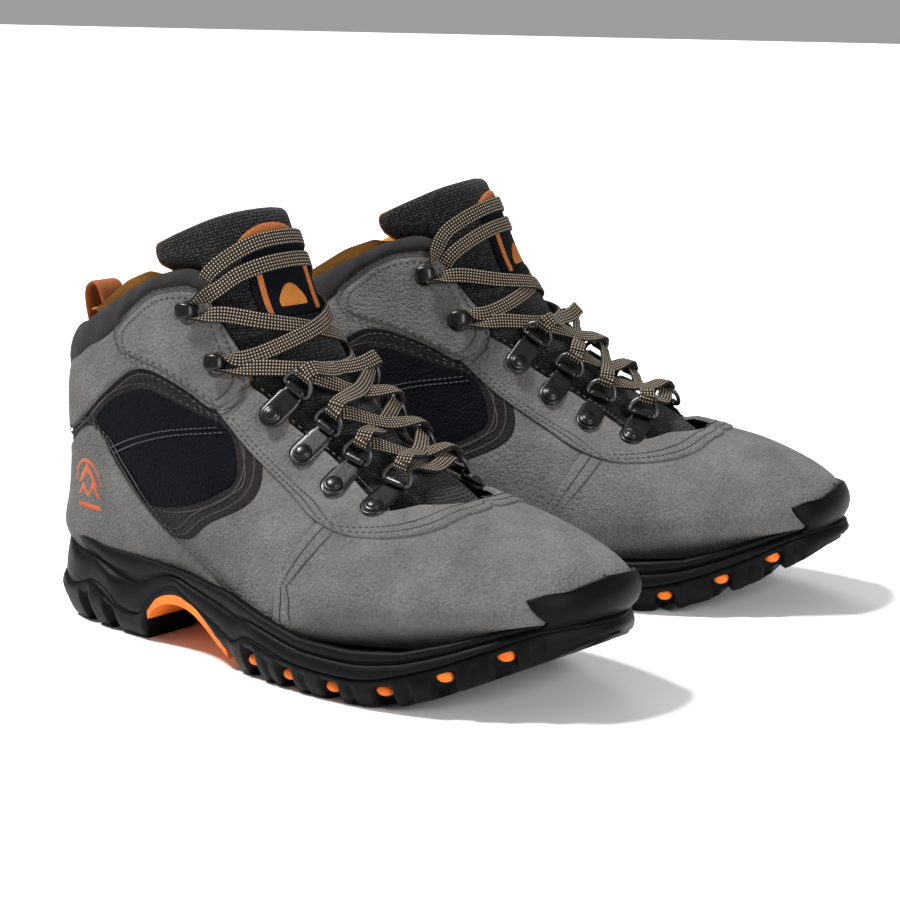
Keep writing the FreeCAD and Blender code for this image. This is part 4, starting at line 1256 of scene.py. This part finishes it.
def ring_seats():
    """Each right-hand ring's hinge, as (centre, inward, outward, along) in the boot's own frame."""
    seats = {}
    for joint in frame["record"]["behaviour"]["joints"]:
        name = joint["name"]
        if not name.startswith("right_ring_"):
            continue
        side_name, number = name.split("_")[2:4]
        centre = boot_place(joint["pos_m"])
        along = unit(boot_direction(joint["axis"]))
        _, _, normal = near_skin(centre)
        inward = unit(np.cross(normal, along))
        if inward[1] * centre[1] > 0:
            inward = -inward
        normal = unit(np.cross(inward, along))
        if normal[2] < 0:
            normal = -normal
        seats[side_name, int(number)] = (centre, inward, normal, along)
    return seats


SEATS = ring_seats()


EDGE_SHARE = 0.35
TURNED_SIDES = 28


def slab(centres, normals, thick, bag):
    """A thin plate round a grid of centre points, with softened edges."""
    rows, columns = centres.shape[:2]
    base = len(bag[0])
    full = np.ones((rows, columns))
    full[0] = full[-1] = EDGE_SHARE
    full[:, 0] = full[:, -1] = EDGE_SHARE
    for sign in (1, -1):
        bag[0].extend((centres + normals * (sign * thick / 2 * full)[..., None]).reshape(-1, 3))
    size = rows * columns
    for face in grid_faces(rows, columns):
        bag[1].append(tuple(base + index for index in face))
        bag[1].append(tuple(base + size + index for index in reversed(face)))
    loop = list(range(columns)) + [i * columns + columns - 1 for i in range(1, rows)]
    loop += [(rows - 1) * columns + j for j in range(columns - 2, -1, -1)]
    loop += [i * columns for i in range(rows - 2, 0, -1)]
    for p, q in zip(loop, loop[1:] + loop[:1]):
        bag[1].append((base + q, base + p, base + size + p, base + size + q))


def strap_normals(centres, along):
    """Which way a strap faces, from a grid of centres whose rows lie in one direction."""
    run = np.gradient(centres, axis=0)
    return units(np.cross(run, np.broadcast_to(along, run.shape)))


def turned_piece(centre, axis, side_axis, profile, bag):
    """A round piece with a profile of radii and heights."""
    third = np.cross(axis, side_axis)
    points = []
    for radius, height in profile:
        for turn in 2 * math.pi * np.arange(TURNED_SIDES) / TURNED_SIDES:
            out = side_axis * math.cos(turn) + third * math.sin(turn)
            points.append(centre + axis * height + out * radius)
    put(bag, points, tube_faces(len(profile), TURNED_SIDES))


def clip_grid(seat):
    """The folded strap: flat under the rivet, then rolled round the ring's bar."""
    centre, inward, normal, along = seat
    low = -1.55
    stations = []
    for turn in np.linspace(0, math.pi / 2, 7):
        back = -CLIP_BACK - 5.6 * math.cos(turn)
        stations.append((back, low, 5.7 * max(0.15, math.sin(turn))))
    for back in np.linspace(-CLIP_BACK + 1.5, -4.0, 8):
        stations.append((back, low, 5.7))
    stations.append((-3.0, low, 5.2))
    stations.append((-2.0, low, 4.8))
    for turn in np.linspace(-90, 170, 16):
        angle = math.radians(turn)
        stations.append((1.6 * math.cos(angle), 1.6 * math.sin(angle), 4.8))
    across = np.linspace(-1, 1, 9)
    centres = np.zeros((len(stations), len(across), 3))
    for i, (back, up, half) in enumerate(stations):
        for j, share in enumerate(across):
            centres[i, j] = centre + inward * back + normal * up + along * half * share
    return centres


def build_clips():
    straps = ([], [])
    rivets = ([], [])
    for seat in SEATS.values():
        centre, inward, normal, along = seat
        centres = clip_grid(seat)
        slab(centres, strap_normals(centres, along), 1.05, straps)
        dome = [(3.95, 0.0), (4.0, 0.45), (3.8, 0.75), (3.3, 0.85)]
        dome += [(2.9 * math.cos(t), 0.85 + 1.05 * math.sin(t)) for t in np.linspace(0.1, 1.5, 7)]
        turned_piece(centre - inward * CLIP_BACK - normal * 1.05, normal, along, dome, rivets)
    make("clip_straps", straps[0], straps[1], ENAMEL, ("ring_clips",))
    make("rivet_heads", rivets[0], rivets[1], ENAMEL, ("clip_rivets",))


def hook_seats():
    seats = {}
    for side_name, sign in (("lateral", 1), ("medial", -1)):
        for number, (a, l, z) in enumerate(HOOKS, start=1):
            qv, point, normal = near_skin(np.array([a, l * sign, z], float))
            inward = unit(bare_skin(qv[0] * 0.8, qv[1]) - point)
            inward = unit(inward - normal * (inward @ normal))
            seats[side_name, number] = (point + normal * 2.4, inward, normal, unit(np.cross(normal, inward)))
    return seats


HOOK_SEATS = hook_seats()


HOOK_BASE = (
    (5.3, 0.0), (5.4, 0.5), (5.2, 1.1), (4.7, 1.4), (3.2, 1.5), (2.9, 1.7), (2.4, 2.3), (1.6, 2.7),
    (0.6, 2.85),
)
HOOK_PATH = (
    (2.6, 1.2), (3.7, 1.9), (4.4, 3.1), (4.5, 4.6), (3.9, 5.9), (2.7, 6.7), (1.1, 7.0), (-0.8, 6.9),
    (-2.6, 6.5), (-4.0, 5.7),
)
HOOK_STEPS = 22


def build_hooks():
    bag = ([], [])
    curve = spline(HOOK_PATH, HOOK_STEPS)
    halves = np.interp(np.linspace(0, 1, HOOK_STEPS), [0, 0.35, 0.7, 0.9, 1], [3.0, 2.6, 3.6, 3.3, 1.6])
    for point, inward, normal, along in HOOK_SEATS.values():
        turned_piece(point, normal, inward, HOOK_BASE, bag)
        centres = []
        for (x, y), half in zip(curve, halves):
            middle = point + inward * x + normal * y
            centres.append([middle + along * half * share for share in np.linspace(-1, 1, 7)])
        centres = np.array(centres)
        slab(centres, strap_normals(centres, along), 1.1, bag)
    make("lace_hooks", bag[0], bag[1], ENAMEL, ("speed_hooks",))


build_clips()
build_hooks()

# ---------------------------------------------------------------- laces

LACE_HALF = 3.5
LACE_THICK = 1.5
LACE_SIDES = 14
LACE_STEPS = 1900
OTHER = {"lateral": "medial", "medial": "lateral"}


def sideways(vector, normal):
    return unit(vector - normal * (vector @ normal))


def over_tongue(flat_place, height):
    q, v = from_flat(np.array([flat_place]))[0]
    normal = skin_normal(q, v)
    return bare_skin(q, v) + normal * height, normal


# Along a strand: how far it has gone, and its height over the skin unless it crosses another.
RING_TO_RING = ((0.5, None),)
RING_TO_HOOK = ((0.2, 6.0), (0.5, None), (0.8, 4.0))
HOOK_TO_HOOK = ((0.1, 4.4), (0.28, 2.9), (0.5, None), (0.72, 2.9), (0.9, 4.4))
RING_EXTRA = 2.4
# Over the tongue's top, from one side to the other: the place across, the rise and the height over the skin.
OVER_THE_TOP = (
    (39, -4, 3.6), (28, 0, 2.9), (14, 2, 2.8), (0, 2.5, 2.8), (-14, 2, 2.8), (-28, -0.5, 2.9),
    (-39, -4.5, 3.2), (-45, -9, 1.0), (-49, -12, -5),
)


def strand(start, end, height, shape=RING_TO_RING):
    one = to_flat(near_skin(start)[0][None])[0]
    two = to_flat(near_skin(end)[0][None])[0]
    middle = height + RING_EXTRA if shape == RING_TO_RING else height
    return [over_tongue(one + (two - one) * share, middle if lift is None else lift) for share, lift in shape]


def ring_tip(key):
    centre, inward, normal, _ = SEATS[key]
    return centre + inward * RING_REACH * math.cos(RING_TILT) + normal * RING_REACH * math.sin(RING_TILT)


def ring_pass(key, comes_from, goes_to):
    """The lace comes in under a ring's far bar, goes round it and leaves over the top."""
    _, inward, normal, _ = SEATS[key]
    tip = ring_tip(key)
    knots = [(tip + sideways(comes_from - tip, normal) * 4.5 - normal * 2.1, normal)]
    for turn in np.linspace(math.pi, 0, 7):
        radial = normal * math.cos(turn) - inward * math.sin(turn)
        knots.append((tip + radial * 2.0, radial))
    knots.append((tip + sideways(goes_to - tip, normal) * 4.5 + normal * 2.0, normal))
    return knots


def hook_middle(key):
    point, inward, normal, _ = HOOK_SEATS[key]
    return point + inward * 3.2 + normal * 3.3


def hook_pass(key):
    _, inward, normal, along = HOOK_SEATS[key]
    up = along if along[2] > 0 else -along
    knots = []
    for turn in np.linspace(-80, 80, 7):
        angle = math.radians(turn)
        radial = -inward * math.cos(angle) + up * math.sin(angle)
        knots.append((hook_middle(key) + radial * 3.4, radial))
    return knots


def climb(side_name, height, top_height, bar):
    """Half the lace: up four rings and two hooks, crossing each time, then over the top."""
    stops = []
    current = side_name
    for number in (1, 2, 3, 4):
        stops.append(("ring", (current, number), ring_tip((current, number))))
        current = OTHER[current]
    for number in (1, 2):
        stops.append(("hook", (current, number), hook_middle((current, number))))
        current = OTHER[current]
    shapes = (RING_TO_RING, RING_TO_RING, RING_TO_RING, RING_TO_HOOK, HOOK_TO_HOOK)
    strands = [strand(one[2], two[2], height, shape) for one, two, shape in zip(stops, stops[1:], shapes)]
    last_side = -1 if side_name == "lateral" else 1
    top = [over_tongue((last_side * across, top_height + rise), lift) for across, rise, lift in OVER_THE_TOP]
    strands.append(top)
    knots = []
    comes_from = bar
    for (kind, key, _), following in zip(stops, strands):
        knots += ring_pass(key, comes_from, following[0][0]) if kind == "ring" else hook_pass(key)
        knots += following
        comes_from = following[-1][0]
    return knots


def lace_section():
    """The lace's flat, round-edged cross-section."""
    section = []
    for turn in 2 * math.pi * np.arange(LACE_SIDES) / LACE_SIDES:
        x = math.copysign(abs(math.cos(turn))**0.35, math.cos(turn)) * LACE_HALF
        y = math.copysign(abs(math.sin(turn))**0.55, math.sin(turn)) * LACE_THICK / 2
        section.append((x, y))
    return np.array(section)


def build_lace():
    bar = strand(ring_tip(("lateral", 1)), ring_tip(("medial", 1)), 2.4)
    first = climb("lateral", 4.6, 182.5, bar[0][0])
    second = climb("medial", 2.9, 175.0, bar[-1][0])
    knots = first[::-1] + bar + second
    table = np.array([np.concatenate(knot) for knot in knots])
    for before, after in zip(table, table[1:]):
        if before[3:] @ after[3:] < 0:
            after[3:] *= -1
    line = spline(table * np.array([1, 1, 1, 2, 2, 2]), LACE_STEPS)
    centres = line[:, :3]
    run = units(np.gradient(centres, axis=0))
    normals = line[:, 3:] - run * (line[:, 3:] * run).sum(1)[:, None]
    normals /= np.maximum(np.linalg.norm(normals, axis=1, keepdims=True), 1e-6)
    across = np.cross(run, normals)
    section = lace_section()
    points = centres[:, None] + across[:, None] * section[:, :1] + normals[:, None] * section[:, 1:]
    length = np.concatenate([[0], np.cumsum(np.linalg.norm(np.diff(centres, axis=0), axis=1))])
    dots = (section[:, 0] + LACE_HALF) / (2 * LACE_HALF) * 5 + 0.5
    weave = np.stack([np.repeat(length / 1.35, LACE_SIDES), np.tile(dots, LACE_STEPS)], axis=1)
    faces = grid_faces(LACE_STEPS, LACE_SIDES, closed=True)
    ends = flipped(tube_faces(LACE_STEPS, LACE_SIDES)[-2:])
    make("laces", points.reshape(-1, 3), faces + ends, LACE, ("lace",), weave)


build_lace()

# ---------------------------------------------------------------- pull loop

LOOP_HALF = 7.5
LOOP_STEPS = 60
LOOP_PATH = (
    (25, 108), (22.5, 120), (20.5, 131), (18.3, 141), (18.6, 147.5), (22, 150.4), (26, 148.6),
    (29.5, 141), (33, 131), (35, 126),
)


def build_pull_loop():
    across = LOOP_HALF * np.linspace(-1, 1, 11)
    centres = np.array([[(a, out, z) for out in across] for a, z in spline(LOOP_PATH, LOOP_STEPS)])
    bag = ([], [])
    slab(centres, strap_normals(centres, np.array([0.0, 1.0, 0.0])), 1.7, bag)
    flat = np.array([[out, i * 1.5] for i in range(LOOP_STEPS) for out in across])
    make("pull_loop_webbing", bag[0], bag[1], WEBBING, ("pull_loop",), np.vstack([flat, flat]))


build_pull_loop()

# ---------------------------------------------------------------- keep the CAD pieces that are right

CAD_FINISH = {"arch_shank": ORANGE, "insole_board": FOAM}

for name, thing in frame["nodes"].items():
    thing.data.materials.clear()
    thing.data.materials.append(CAD_FINISH.get(name.split("_", 1)[1], STEEL))

# ---------------------------------------------------------------- camera, light and floor

CAMERA_AZIMUTH = math.radians(-60.22)
CAMERA_HEIGHT = math.radians(11.01)
CAMERA_PLACE = (-1.02675, -0.5923, 0.3056)
CAMERA_LENS = 106.82
FLOOR_REACH = 6.0


def add_camera():
    data = bpy.data.cameras.new("camera")
    data.lens = CAMERA_LENS
    data.sensor_width = 36
    camera = bpy.data.objects.new("camera", data)
    level = math.cos(CAMERA_HEIGHT)
    across = math.sin(CAMERA_AZIMUTH) * level
    away = -math.cos(CAMERA_AZIMUTH) * level
    back = Vector((across, away, math.sin(CAMERA_HEIGHT)))
    camera.rotation_mode = "QUATERNION"
    camera.rotation_quaternion = back.to_track_quat("Z", "Y")
    camera.location = CAMERA_PLACE
    bpy.context.scene.collection.objects.link(camera)
    bpy.context.scene.camera = camera


def place_light(data, place, target, power):
    data.energy = power
    light = bpy.data.objects.new(data.name, data)
    light.location = place
    light.rotation_mode = "QUATERNION"
    light.rotation_quaternion = (Vector(place) - Vector(target)).to_track_quat("Z", "Y")
    bpy.context.scene.collection.objects.link(light)


def add_sun(name, place, spread, power):
    data = bpy.data.lights.new(name, "SUN")
    data.angle = spread
    place_light(data, place, (0, 0, 0), power)


def add_light(name, place, target, size, power):
    data = bpy.data.lights.new(name, "AREA")
    data.size = size
    place_light(data, place, target, power)


def add_floor():
    mesh = bpy.data.meshes.new("floor")
    corners = [(x * FLOOR_REACH, y * FLOOR_REACH, 0) for x, y in ((-1, -1), (1, -1), (1, 1), (-1, 1))]
    mesh.from_pydata(corners, [], [(0, 1, 2, 3)])
    floor = bpy.data.objects.new("floor", mesh)
    n = Nodes("pale_floor")
    n.color(n.noise(3, 2, 0.5), (0.3, (0.86, 0.86, 0.86)), (0.7, (0.9, 0.9, 0.9)))
    mesh.materials.append(n.set(Roughness=0.9))
    bpy.context.scene.collection.objects.link(floor)


def add_world():
    world = bpy.data.worlds.new("studio")
    bpy.context.scene.world = world
    world.use_nodes = True
    background = world.node_tree.nodes["Background"]
    background.inputs["Color"].default_value = (1, 1, 1, 1)
    background.inputs["Strength"].default_value = 0.34


bpy.context.scene.view_settings.view_transform = "Standard"
add_camera()
add_world()
add_floor()
add_sun("key", (-0.5, 0.85, 1.9), 0.2, 5.6)
add_light("front", (-0.9, -1.7, 0.9), (0, -0.1, 0.05), 0.7, 26)
add_light("rim", (1.2, 0.9, 1.1), (0, 0, 0.1), 0.8, 10)
